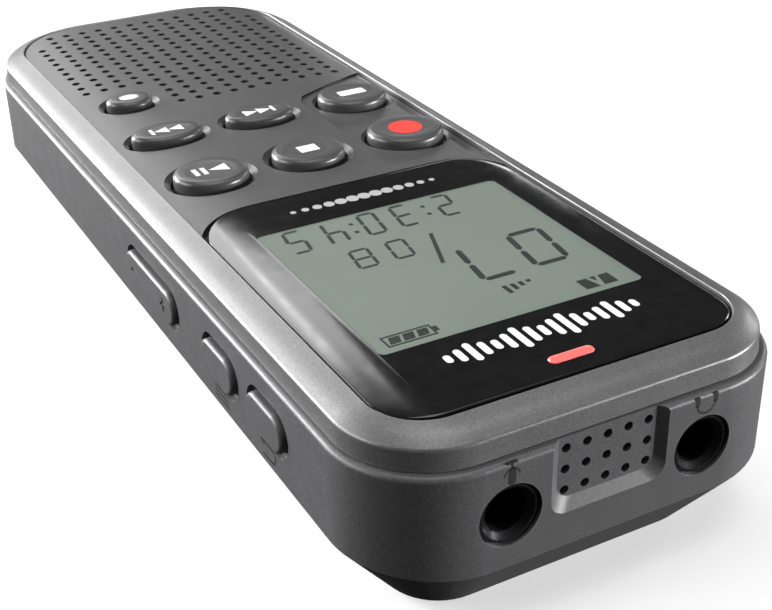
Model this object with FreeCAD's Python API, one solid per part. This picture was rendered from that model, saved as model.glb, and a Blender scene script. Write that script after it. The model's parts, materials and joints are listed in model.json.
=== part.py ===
"""Handheld voice recorder, lying on its back.

Millimetres. Origin: middle of the back face. +Z is up, out of the display. -Y is the end with
the microphone and the two jacks, -X the side with the volume rocker, menu and repeat keys.
"""
import FreeCAD
import Part

import math
import os

from FreeCAD import Vector

os.makedirs("parts", exist_ok=True)

# ---- Case ----
WIDTH = 38.0
LENGTH = 108.0
THICK = 18.0
HALF_W = WIDTH / 2
HALF_L = LENGTH / 2
CORNER_NEAR = 8.2        # upright corners at the microphone end
CORNER_FAR = 14.6        # and at the speaker end
WALL = 1.5
FIT = 0.1                # clearance between pieces that slot together
PAST = 1.0               # how far a cutter runs past the face that it opens

# Underside taper: one wire on the back face, one above it where the slope would end if the
# upright walls did not cut it short.
BACK_HALF_W = 14.0
BACK_NEAR_Y = -49.5
BACK_FAR_Y = 49.0
BACK_CORNER_NEAR = 4.8
BACK_CORNER_FAR = 8.0
SLOPE_HALF_W = 23.1
SLOPE_NEAR_Y = -58.65
SLOPE_FAR_Y = 58.05
SLOPE_CORNER_NEAR = 12.0
SLOPE_CORNER_FAR = 16.0
SLOPE_NEAR_Z = 11.9
SLOPE_FAR_Z = 13.4
UPRIGHT_DOWN = 2.0       # how far the upright walls reach down into the sloping ones
TAPER_IN = 0.54          # the inside of the taper lies this share of the wall further in
TAPER_UP = 0.4           # and this share of it further up

# ---- Joint between the shells ----
LEDGE_Z = 15.1
LEDGE = 0.55
LEDGE_ROUND = 0.45       # rounding of the lower shell's upper edge
RIM_EDGE_Z = 16.8
RIM_EDGE_IN = 0.67       # rim edge, in from the case wall on the long sides
RIM_MID_Z = 17.5
RIM_MID_IN = 1.7
RIM_NEAR_IN = 0.2        # further in at the microphone end
LEDGE_FAR = (53.25, 13.3)      # far edge and corner radius of each ring of the rim
RIM_EDGE_FAR = (53.1, 13.2)
RIM_MID_FAR = (51.4, 11.5)
CREST_HALF_W = 15.95     # also the edge of the lens and the keypad panel
CREST_NEAR_Y = -50.65
CREST_FAR_Y = 49.3
CREST_CORNER_FAR = 8.5
SKIRT_BOTTOM = 14.15
SKIRT = 0.9
DECK_Z = 16.0            # underside of the upper shell's deck
PLATE_Z = 16.9           # underside of the keypad panel
LENS_Z = 16.8            # underside of the lens
DECK_SLOTS = 5           # sound slots through the deck: number, pitch, length and width
DECK_SLOT_PITCH = 4.4
DECK_SLOT_LENGTH = 17.0
DECK_SLOT_WIDTH = 2.0
KEY_WINDOW = ((-15.0, 15.6), (-9.4, 14.6))
INDEX_WINDOW = ((-15.0, -6.2), (14.0, 22.6))
BOOT_NOTCH_HALF_W = 3.0

# ---- Lens and LCD ----
SEAM = 0.35
LENS_FAR_Y = -11.9
PANEL_HORN = 7.0         # how far the panel reaches down beside the lens's round corners
LENS_CORNER_NEAR = 4.5
LENS_CORNER_FAR = 5.5
LENS_BEVEL = 0.5
LENS_BEVEL_DEPTH = 0.35
GLASS_HALF_W = 13.0
GLASS_NEAR_Y = -42.6
GLASS_FAR_Y = -17.6
GLASS_Z = (15.35, 16.75)
HOLDER_Z = 14.15
HOLDER_HALF_W = 13.6
HOLDER_LIP = 0.6         # holder past the glass at both ends
GUIDE = (12.2, -39.2)    # pocket of the light guide: half width and near edge
GUIDE_DEPTH = 0.6
STRIP_HALF_W = 11.0      # rubber contact strip between glass and board
STRIP_Y = (-41.8, -40.3)
LAMP = (0.1, -48.4)
LAMP_LENGTH = 4.1
LAMP_WIDTH = 1.1
LAMP_AIR = 0.75          # light pipe above the board

# ---- Circuit board ----
BOARD_Z = (13.1, 14.1)
BOARD_HALF_W = 16.2
BOARD_NEAR_Y = -49.0
BOARD_FAR_Y = 22.3
BOARD_CLEAR = 0.6        # round the loudspeaker
MAT_CLEAR = 0.8

# ---- Keys on the panel: name, x, y, half length, half width ----
KEYS = [
    ("play_pause_key", -10.3, -3.8, 3.7, 3.35),
    ("stop_key", 0.0, -3.8, 3.7, 3.35),
    ("record_key", 11.0, -3.8, 4.0, 3.65),
    ("forward_key", -10.3, 8.2, 3.75, 2.4),
    ("rewind_key", 0.0, 8.2, 3.75, 2.4),
    ("file_key", 11.0, 8.2, 3.8, 3.4),
    ("index_key", -10.5, 19.4, 2.5, 2.1),
]
KEY_TOP = 18.75
KEY_BOTTOM = 15.75
KEY_FLANGE_Z = (16.2, 16.7)
KEY_FLANGE = 0.4
KEY_STEM_R = 1.2
KEY_GAP = 0.3
KEY_EDGE = 0.4
DISH = 0.6               # width and depth of the bevel round each key
DISH_DEPTH = 0.45
FIELD_DEPTH = 0.2        # recess round the record and file keys
FIELD_FAR_Y = 17.2       # where it leaves the panel's edge at both ends
FIELD_NEAR_Y = -13.0
FIELD_CORNERS = [(6.6, 11.6), (5.8, 10.0), (5.8, -3.4), (6.6, -5.0)]
MAT_HALF_W = 15.3
MAT_Y = (-8.8, 16.0)
MAT_Z = (14.5, 15.2)
MAT_BOSS_R = 1.6
MAT_BOSS = 0.1
INDEX_SIDE_X = -6.0      # right edge of the mat's tongue under the index key
DOME_R = (2.0, 1.2)      # radius at the board and at the top
DOME_HEIGHT = 0.32

# ---- Speaker ----
SPEAKER_Y = 32.0
SPEAKER_R = 13.7
SPEAKER_Z = (12.45, 15.6)
HOLE_PITCH_X = 2.08
HOLE_PITCH_Y = 1.94
HOLE_COLUMNS = 14
HOLE_ROWS = 16
HOLE_FIRST_Y = 17.4
HOLE_R = 0.45
HOLES_PAST_INDEX = (-6.0, 24.0)      # no holes to the left of this x below this y
HOLES_IN_CORNER = (12.5, 43.5)       # none further out than this x beyond this y
CONE_EDGE_R = 12.4
CONE_EDGE_Z = (15.1, 15.3)     # under and upper face
CONE_WAIST_R = 3.5
CONE_WAIST_Z = (14.3, 14.55)
CONE_TOP_Z = (14.5, 14.9)
MESH_R = 12.6
MESH_Z = (15.75, 15.85)
GASKET_R = (12.7, 13.3)
GASKET_Z = (15.65, 15.95)
MAGNET_R = 6.5
MAGNET_TOP = 13.8
BASKET_FLOOR = (13.0, 13.5)
BASKET_NECK_R = (9.3, 9.5)     # inside and outside
BASKET_RIM = (0.8, 0.9)        # height of its rim, inside and outside

# ---- Left side keys: name, y of both ends ----
SIDE_KEYS = [
    ("menu_key", -29.0, -22.2),
    ("repeat_key", -38.6, -31.8),
]
ROCKER_Y = (-15.6, -3.0)
SIDE_Z = (9.3, 12.6)
SIDE_PROUD = 0.45
SIDE_GAP = 0.15
SIDE_DISH = 0.55
SIDE_DISH_DEPTH = 0.5
SIDE_EDGE = 0.35         # rounding of a side key's face
SIDE_FLANGE_X = (16.9, 17.4)
SIDE_FLANGE = 0.6        # past the opening in Y
SIDE_FLANGE_Z = (8.8, 13.0)
SIDE_STEM = (16.5, 17.0, 0.9)        # inner and outer x, half width in Y
SIDE_STEM_Z = (10.0, 11.9)
PIVOT_X = -16.95
PIVOT_R = 0.5
PIVOT_Z = (8.0, 12.5)
PIVOT_SHELF = ((-18.5, -15.75), (-11.0, -7.6), (7.4, 8.7))
ROCKER_BACK_X = -17.9
ROCKER_BEAM = ((-17.15, -16.75), 4.8, (9.8, 12.1))   # x, half length, z
ROCKER_ARM = ((-16.8, -16.4), 0.6, (10.3, 11.6))     # x, half width, z
ROCKER_REACH = 4.3       # arms and their switches from the rocker's middle
ROCKER_MARK = (0.75, 0.17, 0.15)         # half length, half width and depth of plus and minus
ROCKER_MARK_IN = 2.4     # their middles, from the rocker's ends
SWITCH_BODY = ((-15.8, -13.2), 2.2, 9.2)             # x, half length, lower z
SWITCH_PIP = ((-16.0, -15.7), 0.7, (10.3, 11.6))

# ---- Right side ----
HOLD_WINDOW = (12.0, 21.0)
HOLD_KNOB = (12.2, 17.7)
HOLD_GROOVES = 5
HOLD_GROOVE_PITCH = 0.7
HOLD_GROOVE_HALF_W = 0.15
HOLD_GROOVE_DEPTH = 0.2
HOLD_PLATE = ((16.8, 17.4), (8.7, 21.4))
HOLD_FORK = ((16.0, 17.0), 1.1, 0.3, (10.4, 11.6))   # x, prong from the middle, half width, z
HOLD_BODY = ((12.6, 15.8), (12.0, 21.4), 9.8)
HOLD_LEVER = ((15.9, 16.6), 0.7, (10.5, 11.5))
USB_Y = -20.0
USB_HALF_W = 3.85
USB_Z = (9.2, 13.1)
USB_X = (9.8, 18.7)
USB_BACK = 1.0
USB_SHEET = 0.4
USB_GAP = 0.25           # round the socket in the case wall
USB_TONGUE = ((10.8, 17.4), 2.4, (10.9, 11.6))

# ---- Microphone end ----
JACK_X = 8.59
JACK_Z = 10.44
JACK_BORE_R = 1.8
JACK_COLLAR_R = 2.6
JACK_BODY = (5.5, 12.4)  # width and length
JACK_BODY_Z = 7.9
JACK_SUNK = 0.25         # collar behind the case wall's face
JACK_BEVEL = 0.45
JACK_DEPTH = 13.2
PIN = 0.25               # half width of a jack's pins
PIN_TOP = 14.6
PINS = [(-1.8, -47.5), (1.8, -45.6), (-1.8, -43.8)]  # from the jack's middle in X, and y
MIC_OUTER = (5.15, 8.87)  # half width and lower edge of the recess at the surface
MIC_INNER = (4.35, 9.77)
MIC_DEPTH = 0.57
MIC_CORNER = 1.3
MIC_PITCH = 1.832
MIC_ROW_Z = 12.3
MIC_HOLE_R = 0.39
CAPSULE_R = 2.0
CAPSULE_FIT = 0.02
CAPSULE_Y = (0.5, 2.2)   # behind the inside of the end wall
CAPSULE_PORT_R = 0.5
BOOT_WALL = 0.55
BOOT_Y = (0.1, 2.6)
BOOT_THROAT_R = 1.5
BOOT_LEAD_R = 1.0

# ---- Battery bay ----
CELL_R = 5.25
CELL_X = 5.6
CELL_Z = 6.95
CELL_BODY = 43.7
NUB_R = 1.9
NUB = 0.8
BAY_HALF_W = 11.3
BAY_NEAR_Y = 2.4
BAY_FAR_Y = 48.7
BAY_WALL = 0.8
BAY_TOP = 12.35
BAY_SKIN = 1.2           # case wall left beside the bay
MOUTH_SHORT = 3.5        # the bay's mouth ends this far before its far wall
RAIL_WIDTH = 0.9         # the door's rails, past its tongues
RAIL_HEIGHT = 1.0
CONTACT = 0.3
CONTACT_HALF_W = 3.5
CONTACT_Z = (3.6, 11.2)
COIL_WIRE_R = 0.18
COIL_PITCH = 0.42
COIL_HEIGHT = 0.82
COIL_R = 2.6
COIL_CONE = 25           # degrees
SPRING_GAP = 1.2
DOOR_NEAR_Y = 0.6
DOOR_THICK = 1.2
GRIPS = 5
GRIP_FIRST_Y = 8.0
GRIP_PITCH = 1.8
GRIP_WIDTH = 0.8
GRIP_HALF_LENGTH = 4.5
GRIP_DEPTH = 0.35
TONGUE = 0.8
TONGUE_Z = (0.45, 0.85)

# ---- Screws ----
CASE_SCREWS = [(-10.5, -13.5), (10.5, -13.5)]
BOARD_SCREWS = [(-14.2, -46.0), (14.2, -46.0)]
POST_R = 2.1
POST_BORE_R = 0.85
CASE_SCREW_HOLE_R = 1.3
BOARD_SCREW_HOLE_R = 0.9
BOARD_POST_R = 1.4
BOARD_POST_BORE_R = 0.6
POST_BORE_TOP = 15.9
CASE_SCREW = (1.05, 1.75, 0.85, 14.5)    # height of the head, radii of head and shank, length
BOARD_SCREW = (12.25, 1.3, 0.6, 3.2)
HEAD_RECESS_R = 1.9
HEAD_RECESS = 1.9
SHANK_HOLE_R = 1.1
HEAD_HEIGHT = 0.8
CROSS = (0.75, 0.2, 0.4)                 # half length, half width and depth of the cross recess

# ---- Parts on the board ----
MAIN_CHIP = ((-5.0, 5.0), (-35.0, -25.0), 11.9)      # x, y, lower z
MAIN_CHIP_LEGS = 8                       # on each side
LEG_PITCH = 1.1
LEG = (0.5, 0.15, 12.5)                  # half length, half width, lower z
MEMORY_CHIP = ((-6.0, 6.0), (-17.5, -9.5), 12.0)
CRYSTAL = ((-10.0, -7.0), (-24.0, -19.5), 11.7)
REGULATOR = ((7.0, 9.2), (-36.0, -32.0), 11.9)
CAPACITOR = (-9.0, -30.0, 8.2, 2.0)      # x, y, lower z, radius
LAMP_CHIP = (0.8, 0.4, 14.7)             # half sizes in X and Y, upper z
SMALL_PARTS = 5
SMALL_PART = ((12.6, 14.2), -40.0, 2.2, 0.8, 12.5)   # x, first y, pitch, width, lower z


# ---------------------------------------------------------------- shape helpers
def save(name, shape):
    """Write one node's solids."""
    shape.exportStep(os.path.join("parts", name + ".step"))


def box(x, y, z):
    """Box between the two values of each pair."""
    size = (x[1] - x[0], y[1] - y[0], z[1] - z[0])
    return Part.makeBox(size[0], size[1], size[2], Vector(x[0], y[0], z[0]))


def rod(x, y, z, radius):
    """Upright cylinder between the two heights in z."""
    return Part.makeCylinder(radius, z[1] - z[0], Vector(x, y, z[0]))


def rod_y(x, y, z, radius):
    """Cylinder along Y between the two values in y."""
    return Part.makeCylinder(radius, y[1] - y[0], Vector(x, y[0], z), Vector(0, 1, 0))


def around(middle, half):
    """The two values that lie half to either side of the middle."""
    return middle - half, middle + half


def middle_of(pair):
    return (pair[0] + pair[1]) / 2


def grown(pair, amount):
    return pair[0] - amount, pair[1] + amount


def outline(half_w, near, far, r_near, r_far, height):
    """Closed wire of a rectangle with round corners; height(y) gives z."""
    def at(x, y):
        return Vector(x, y, height(y))

    def corner(x_sign, y_edge, y_sign, radius, start_on_side):
        cx = x_sign * (half_w - radius)
        cy = y_edge - y_sign * radius
        on_side = at(x_sign * half_w, cy)
        on_end = at(cx, y_edge)
        bend = radius * math.sqrt(0.5)
        middle = at(cx + x_sign * bend, cy + y_sign * bend)
        if start_on_side:
            return on_side, middle, on_end
        return on_end, middle, on_side

    corners = [
        corner(-1, near, -1, r_near, True),
        corner(1, near, -1, r_near, False),
        corner(1, far, 1, r_far, True),
        corner(-1, far, 1, r_far, False),
    ]
    edges = []
    for index, (start, middle, end) in enumerate(corners):
        edges.append(Part.Arc(start, middle, end).toShape())
        following = corners[(index + 1) % len(corners)][0]
        edges.append(Part.LineSegment(end, following).toShape())
    return Part.Wire(edges)


def flat_outline(half_w, near, far, r_near, r_far, z):
    return outline(half_w, near, far, r_near, r_far, lambda y: z)


def plate(half_w, near, far, r_near, r_far, z):
    """Slab with round corners between the two heights in z."""
    wire = flat_outline(half_w, near, far, r_near, r_far, z[0])
    return Part.Face(wire).extrude(Vector(0, 0, z[1] - z[0]))


def oval_wire(x, y, z, half_x, half_y):
    """Ellipse in a level plane; the longer half axis may be either one."""
    centre = Vector(x, y, z)
    if half_x >= half_y:
        curve = Part.Ellipse(centre, half_x, half_y)
    else:
        curve = Part.Ellipse(centre + Vector(0, half_y, 0), centre + Vector(half_x, 0, 0), centre)
    return Part.Wire([curve.toShape()])


def oval(x, y, z, half_x, half_y):
    face = Part.Face(oval_wire(x, y, z[0], half_x, half_y))
    return face.extrude(Vector(0, 0, z[1] - z[0]))


def oval_dish(x, y, z, half_x, half_y, spread):
    """Oval hole that widens by spread from z[0] up to z[1]."""
    low = oval_wire(x, y, z[0], half_x, half_y)
    high = oval_wire(x, y, z[1], half_x + spread, half_y + spread)
    return Part.makeLoft([low, high], True, True)


def pill_x(x, y, z):
    """Slab across X whose outline is a rectangle with half-round ends in Y."""
    radius = (z[1] - z[0]) / 2
    middle = (z[0] + z[1]) / 2
    slab = box(x, (y[0] + radius, y[1] - radius), z)
    for end in (y[0] + radius, y[1] - radius):
        base = Vector(x[0], end, middle)
        slab = slab.fuse(Part.makeCylinder(radius, x[1] - x[0], base, Vector(1, 0, 0)))
    return slab.removeSplitter()


def pill_z(x, y, z, length, width):
    """Upright slab at (x, y) with half-round ends in X."""
    reach = (length - width) / 2
    slab = box((x - reach, x + reach), (y - width / 2, y + width / 2), z)
    for side in (-1, 1):
        slab = slab.fuse(rod(x + side * reach, y, z, width / 2))
    return slab.removeSplitter()


def fuse(shapes):
    return shapes[0].multiFuse(shapes[1:]).removeSplitter()


def cut(shape, tools):
    return shape.cut(Part.makeCompound(tools))


# ---------------------------------------------------------------- case
def hull(inset=0.0):
    """Outside of the case below the ledge, or the same shape moved in by a wall."""
    rise = TAPER_UP * inset
    back_in = TAPER_IN * inset
    low = flat_outline(BACK_HALF_W - back_in, BACK_NEAR_Y + back_in, BACK_FAR_Y - back_in,
                       BACK_CORNER_NEAR, BACK_CORNER_FAR, inset)
    tilt = (SLOPE_FAR_Z - SLOPE_NEAR_Z) / (SLOPE_FAR_Y - SLOPE_NEAR_Y)
    high = outline(SLOPE_HALF_W - inset, SLOPE_NEAR_Y + inset, SLOPE_FAR_Y - inset,
                   SLOPE_CORNER_NEAR, SLOPE_CORNER_FAR,
                   lambda y: SLOPE_NEAR_Z + rise + tilt * (y - SLOPE_NEAR_Y))
    slope = Part.makeLoft([low, high], True, True)
    walls = plate(HALF_W - inset, -HALF_L + inset, HALF_L - inset,
                  CORNER_NEAR - inset, CORNER_FAR - inset, (inset, LEDGE_Z))
    upright = box((-HALF_W, HALF_W), (-HALF_L, HALF_L), (SLOPE_NEAR_Z - UPRIGHT_DOWN, LEDGE_Z))
    return walls.common(slope.fuse(upright)).removeSplitter()


def outside():
    """The hull with its upper edge rounded."""
    shape = hull()
    upper_edges = [e for e in shape.Edges if e.BoundBox.ZMin > LEDGE_Z - 0.01]
    return shape.makeFillet(LEDGE_ROUND, upper_edges)


def mic_recess():
    """Tapered recess in the end wall, open at the ledge."""
    def wire(half_w, low, y):
        top = LEDGE_Z + PAST
        bend = MIC_CORNER * (1 - math.sqrt(0.5))
        left, right = -half_w, half_w
        points = [
            Vector(left, y, top), Vector(left, y, low + MIC_CORNER),
            Vector(left + MIC_CORNER, y, low), Vector(right - MIC_CORNER, y, low),
            Vector(right, y, low + MIC_CORNER), Vector(right, y, top),
        ]
        edges = [
            Part.LineSegment(points[0], points[1]).toShape(),
            Part.Arc(points[1], Vector(left + bend, y, low + bend), points[2]).toShape(),
            Part.LineSegment(points[2], points[3]).toShape(),
            Part.Arc(points[3], Vector(right - bend, y, low + bend), points[4]).toShape(),
            Part.LineSegment(points[4], points[5]).toShape(),
            Part.LineSegment(points[5], points[0]).toShape(),
        ]
        return Part.Wire(edges)

    proud = 0.2
    grow = proud / MIC_DEPTH
    step_w = (MIC_OUTER[0] - MIC_INNER[0]) * grow
    step_z = (MIC_INNER[1] - MIC_OUTER[1]) * grow
    mouth = wire(MIC_OUTER[0] + step_w, MIC_OUTER[1] - step_z, -HALF_L - proud)
    floor = wire(MIC_INNER[0], MIC_INNER[1], -HALF_L + MIC_DEPTH)
    return Part.makeLoft([mouth, floor], True, True)


def mic_holes():
    holes = []
    for column in range(-2, 3):
        for row in range(-1, 2):
            x = column * MIC_PITCH
            z = MIC_ROW_Z + row * MIC_PITCH
            holes.append(rod_y(x, (-HALF_L - PAST, -HALF_L + WALL + PAST), z, MIC_HOLE_R))
    return holes


def side_opening(y, wall_side):
    """Hole and surrounding dish for a key in a long side wall."""
    z_gap = grown(SIDE_Z, SIDE_GAP)
    y_gap = grown(y, SIDE_GAP)
    z_dish = grown(SIDE_Z, SIDE_DISH)
    y_dish = grown(y, SIDE_DISH)
    inner = HALF_W - WALL - PAST
    outer = HALF_W + PAST
    dish = HALF_W - SIDE_DISH_DEPTH
    if wall_side < 0:
        return [pill_x((-outer, -inner), y_gap, z_gap), pill_x((-outer, -dish), y_dish, z_dish)]
    return [pill_x((inner, outer), y_gap, z_gap), pill_x((dish, outer), y_dish, z_dish)]


def door_path():
    """Slot that the battery door runs in, open at the far end."""
    run = (DOOR_NEAR_Y - FIT, HALF_L + PAST)
    slot = box(around(0, BAY_HALF_W), run, (-PAST, DOOR_THICK + FIT))
    groove = box(around(0, BAY_HALF_W + TONGUE + FIT), run, grown(TONGUE_Z, FIT))
    return [slot, groove]


def bay_room():
    """Room for the cells, kept inside the tapered walls, and the mouth that the door covers."""
    room = box(around(0, BAY_HALF_W), (BAY_NEAR_Y, BAY_FAR_Y), (0, BAY_TOP + PAST))
    mouth = box(around(0, BAY_HALF_W), (BAY_NEAR_Y, BAY_FAR_Y - MOUTH_SHORT),
                (-PAST, DOOR_THICK + FIT))
    return [room.common(hull(BAY_SKIN)), mouth]


def bay_walls(inside):
    """Four walls round the cells and the rails that the door's tongues run in."""
    long_y = (BAY_NEAR_Y - BAY_WALL, BAY_FAR_Y + BAY_WALL)
    full_x = around(0, BAY_HALF_W + BAY_WALL)
    walls = []
    for side in (-1, 1):
        x = sorted((side * BAY_HALF_W, side * (BAY_HALF_W + BAY_WALL)))
        walls.append(box(x, long_y, (TONGUE_Z[0], BAY_TOP)))
    walls.append(box(full_x, (BAY_NEAR_Y - BAY_WALL, BAY_NEAR_Y), (TONGUE_Z[0], BAY_TOP)))
    walls.append(box(full_x, (BAY_FAR_Y, BAY_FAR_Y + BAY_WALL), (TONGUE_Z[0], BAY_TOP)))
    rails = box(around(0, BAY_HALF_W + TONGUE + RAIL_WIDTH), (DOOR_NEAR_Y - PAST, BAY_FAR_Y),
                (TONGUE_Z[0], TONGUE_Z[1] + RAIL_HEIGHT))
    return [wall.common(inside) for wall in walls + [rails]]


def shell_openings():
    """Everything that is cut from the lower shell."""
    tools = [mic_recess()] + bay_room() + mic_holes() + door_path()
    for side in (-1, 1):
        tools.append(rod_y(side * JACK_X, (-HALF_L - PAST, -HALF_L + WALL + 2 * FIT), JACK_Z,
                           JACK_COLLAR_R + FIT / 2))
    for name, start, end in SIDE_KEYS:
        tools += side_opening((start, end), -1)
    tools += side_opening(ROCKER_Y, -1)
    tools += side_opening(HOLD_WINDOW, 1)
    tools.append(box((HALF_W - WALL - PAST, HALF_W + PAST), around(USB_Y, USB_HALF_W + USB_GAP),
                     grown(USB_Z, USB_GAP)))
    tools.append(rod(PIVOT_X, middle_of(ROCKER_Y), (PIVOT_Z[0] - FIT, PIVOT_Z[0] + PAST),
                     PIVOT_R + FIT / 2))
    for x, y in CASE_SCREWS:
        tools.append(rod(x, y, (-PAST, HEAD_RECESS), HEAD_RECESS_R))
        tools.append(rod(x, y, (0, BOARD_Z[0]), SHANK_HOLE_R))
    return tools


def bottom_shell():
    shell = outside().cut(hull(WALL))
    posts = [rod(x, y, (TONGUE_Z[0], BOARD_Z[0] - FIT), POST_R) for x, y in CASE_SCREWS]
    pieces = [shell, box(*PIVOT_SHELF)] + bay_walls(hull(WALL - FIT / 2)) + posts
    return cut(fuse(pieces), shell_openings())


def rim_outline(inset, far_y, far_corner, z):
    """Outline of the upper shell at an inset from the case wall."""
    return flat_outline(HALF_W - inset, -HALF_L + inset + RIM_NEAR_IN, far_y,
                        CORNER_NEAR - inset, far_corner, z)


def sound_slots():
    """Slots in the upper shell's deck over the speaker."""
    slots = []
    for index in range(DECK_SLOTS):
        y = SPEAKER_Y + (index - (DECK_SLOTS - 1) / 2) * DECK_SLOT_PITCH
        slots.append(pill_z(0, y, (DECK_Z - PAST, THICK), DECK_SLOT_LENGTH, DECK_SLOT_WIDTH))
    return slots


def shell_windows():
    """Beds and windows for the lens, the display, the panel and the keys, and the lamp hole."""
    through = (DECK_Z - PAST, THICK)
    return [
        box(around(0, BOOT_NOTCH_HALF_W), (-HALF_L, BOARD_NEAR_Y), (SKIRT_BOTTOM - PAST, LEDGE_Z)),
        plate(CREST_HALF_W, CREST_NEAR_Y, LENS_FAR_Y, LENS_CORNER_NEAR, LENS_CORNER_FAR,
              (LENS_Z, THICK + PAST)),
        box(around(0, GLASS_HALF_W + 2 * FIT), grown((GLASS_NEAR_Y, GLASS_FAR_Y), 3 * FIT), through),
        plate(CREST_HALF_W, LENS_FAR_Y - LENS_CORNER_FAR, CREST_FAR_Y, 1.0, CREST_CORNER_FAR,
              (PLATE_Z, THICK + PAST)),
        box(*KEY_WINDOW, through),
        box(*INDEX_WINDOW, through),
        pill_z(*LAMP, through, LAMP_LENGTH, LAMP_WIDTH),
    ]


def top_shell():
    crest = flat_outline(CREST_HALF_W, CREST_NEAR_Y, CREST_FAR_Y, LENS_CORNER_NEAR,
                         CREST_CORNER_FAR, THICK)
    body = Part.makeLoft([rim_outline(LEDGE, *LEDGE_FAR, LEDGE_Z),
                          rim_outline(RIM_EDGE_IN, *RIM_EDGE_FAR, RIM_EDGE_Z),
                          rim_outline(RIM_MID_IN, *RIM_MID_FAR, RIM_MID_Z), crest], True, True)
    skirt_in = WALL + FIT
    skirt = plate(HALF_W - skirt_in, -HALF_L + skirt_in, HALF_L - skirt_in,
                  CORNER_NEAR - skirt_in, CORNER_FAR - skirt_in, (SKIRT_BOTTOM, LEDGE_Z + FIT))
    hollow_in = skirt_in + SKIRT
    hollow = plate(HALF_W - hollow_in, -HALF_L + hollow_in, HALF_L - hollow_in,
                   CORNER_NEAR - hollow_in, CORNER_FAR - hollow_in, (SKIRT_BOTTOM - PAST, DECK_Z))
    shell = cut(body.fuse(skirt).cut(hollow), shell_windows() + sound_slots())
    post_z = (BOARD_Z[1] + FIT / 2, PLATE_Z - 5 * FIT)
    bore_z = (BOARD_Z[0], POST_BORE_TOP)
    posts = [rod(x, y, post_z, POST_R) for x, y in CASE_SCREWS]
    posts += [rod(x, y, post_z, BOARD_POST_R) for x, y in BOARD_SCREWS]
    bores = [rod(x, y, bore_z, POST_BORE_R) for x, y in CASE_SCREWS]
    bores += [rod(x, y, bore_z, BOARD_POST_BORE_R) for x, y in BOARD_SCREWS]
    return cut(fuse([shell] + posts), bores)


# ---------------------------------------------------------------- top face
def sound_holes():
    """Grid of holes over the far part of the panel, clear of the index key and the edge."""
    holes = []
    for column in range(HOLE_COLUMNS):
        for row in range(HOLE_ROWS):
            x = (column - (HOLE_COLUMNS - 1) / 2) * HOLE_PITCH_X
            y = HOLE_FIRST_Y + row * HOLE_PITCH_Y
            near_index = x < HOLES_PAST_INDEX[0] and y < HOLES_PAST_INDEX[1]
            in_corner = abs(x) > HOLES_IN_CORNER[0] and y > HOLES_IN_CORNER[1]
            if not near_index and not in_corner:
                holes.append(rod(x, y, (PLATE_Z - PAST, THICK + PAST), HOLE_R))
    return holes


def record_field():
    """Shallow five-sided recess round the record and file keys, open to the panel's right edge."""
    side = CREST_HALF_W + 2 * PAST
    corners = [(side, FIELD_FAR_Y)] + FIELD_CORNERS + [(side, FIELD_NEAR_Y)]
    points = [Vector(x, y, THICK - FIELD_DEPTH) for x, y in corners + corners[:1]]
    return Part.Face(Part.makePolygon(points)).extrude(Vector(0, 0, PAST))


def keypad_panel():
    gap = SEAM / 2
    horns_y = LENS_FAR_Y - PANEL_HORN
    panel = plate(CREST_HALF_W - gap, horns_y, CREST_FAR_Y - gap, gap,
                  CREST_CORNER_FAR - gap, (PLATE_Z, THICK))
    lens_room = plate(CREST_HALF_W + PAST / 2, CREST_NEAR_Y, LENS_FAR_Y + gap, LENS_CORNER_NEAR,
                      LENS_CORNER_FAR + PAST / 2, (PLATE_Z - PAST, THICK + PAST))
    panel = panel.cut(lens_room)
    tools = sound_holes() + [record_field()]
    for name, x, y, half_x, half_y in KEYS:
        hole_x = half_x + KEY_GAP
        hole_y = half_y + KEY_GAP
        tools.append(oval(x, y, (PLATE_Z - PAST, THICK + PAST), hole_x, hole_y))
        tools.append(oval_dish(x, y, (THICK - DISH_DEPTH, THICK + 0.01), hole_x, hole_y, DISH))
    return cut(panel, tools)


def key_cap(x, y, half_x, half_y):
    cap = oval(x, y, (KEY_FLANGE_Z[0], KEY_TOP), half_x, half_y)
    top_edges = [e for e in cap.Edges if abs(e.BoundBox.ZMin - KEY_TOP) < 0.01
                 and abs(e.BoundBox.ZMax - KEY_TOP) < 0.01]
    cap = cap.makeFillet(KEY_EDGE, top_edges)
    flange = oval(x, y, KEY_FLANGE_Z, half_x + KEY_FLANGE, half_y + KEY_FLANGE)
    stem = rod(x, y, (KEY_BOTTOM, KEY_FLANGE_Z[1]), KEY_STEM_R)
    return fuse([cap, flange, stem])


def display_lens():
    gap = SEAM / 2
    lower = flat_outline(CREST_HALF_W - gap, CREST_NEAR_Y + gap, LENS_FAR_Y - gap,
                         LENS_CORNER_NEAR - gap, LENS_CORNER_FAR - gap, LENS_Z)
    shoulder = flat_outline(CREST_HALF_W - gap, CREST_NEAR_Y + gap, LENS_FAR_Y - gap,
                            LENS_CORNER_NEAR - gap, LENS_CORNER_FAR - gap,
                            THICK - LENS_BEVEL_DEPTH)
    inset = gap + LENS_BEVEL
    upper = flat_outline(CREST_HALF_W - inset, CREST_NEAR_Y + inset, LENS_FAR_Y - inset,
                         LENS_CORNER_NEAR - inset, LENS_CORNER_FAR - inset, THICK)
    lens = Part.makeLoft([lower, shoulder, upper], True, True)
    return lens.cut(pill_z(*LAMP, (LENS_Z - PAST, THICK + PAST), LAMP_LENGTH, LAMP_WIDTH))


def lamp_light_pipe():
    return pill_z(*LAMP, (BOARD_Z[1] + LAMP_AIR, THICK), LAMP_LENGTH - FIT, LAMP_WIDTH - FIT)


def lcd_glass():
    return box(around(0, GLASS_HALF_W), (GLASS_NEAR_Y, GLASS_FAR_Y), GLASS_Z)


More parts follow.
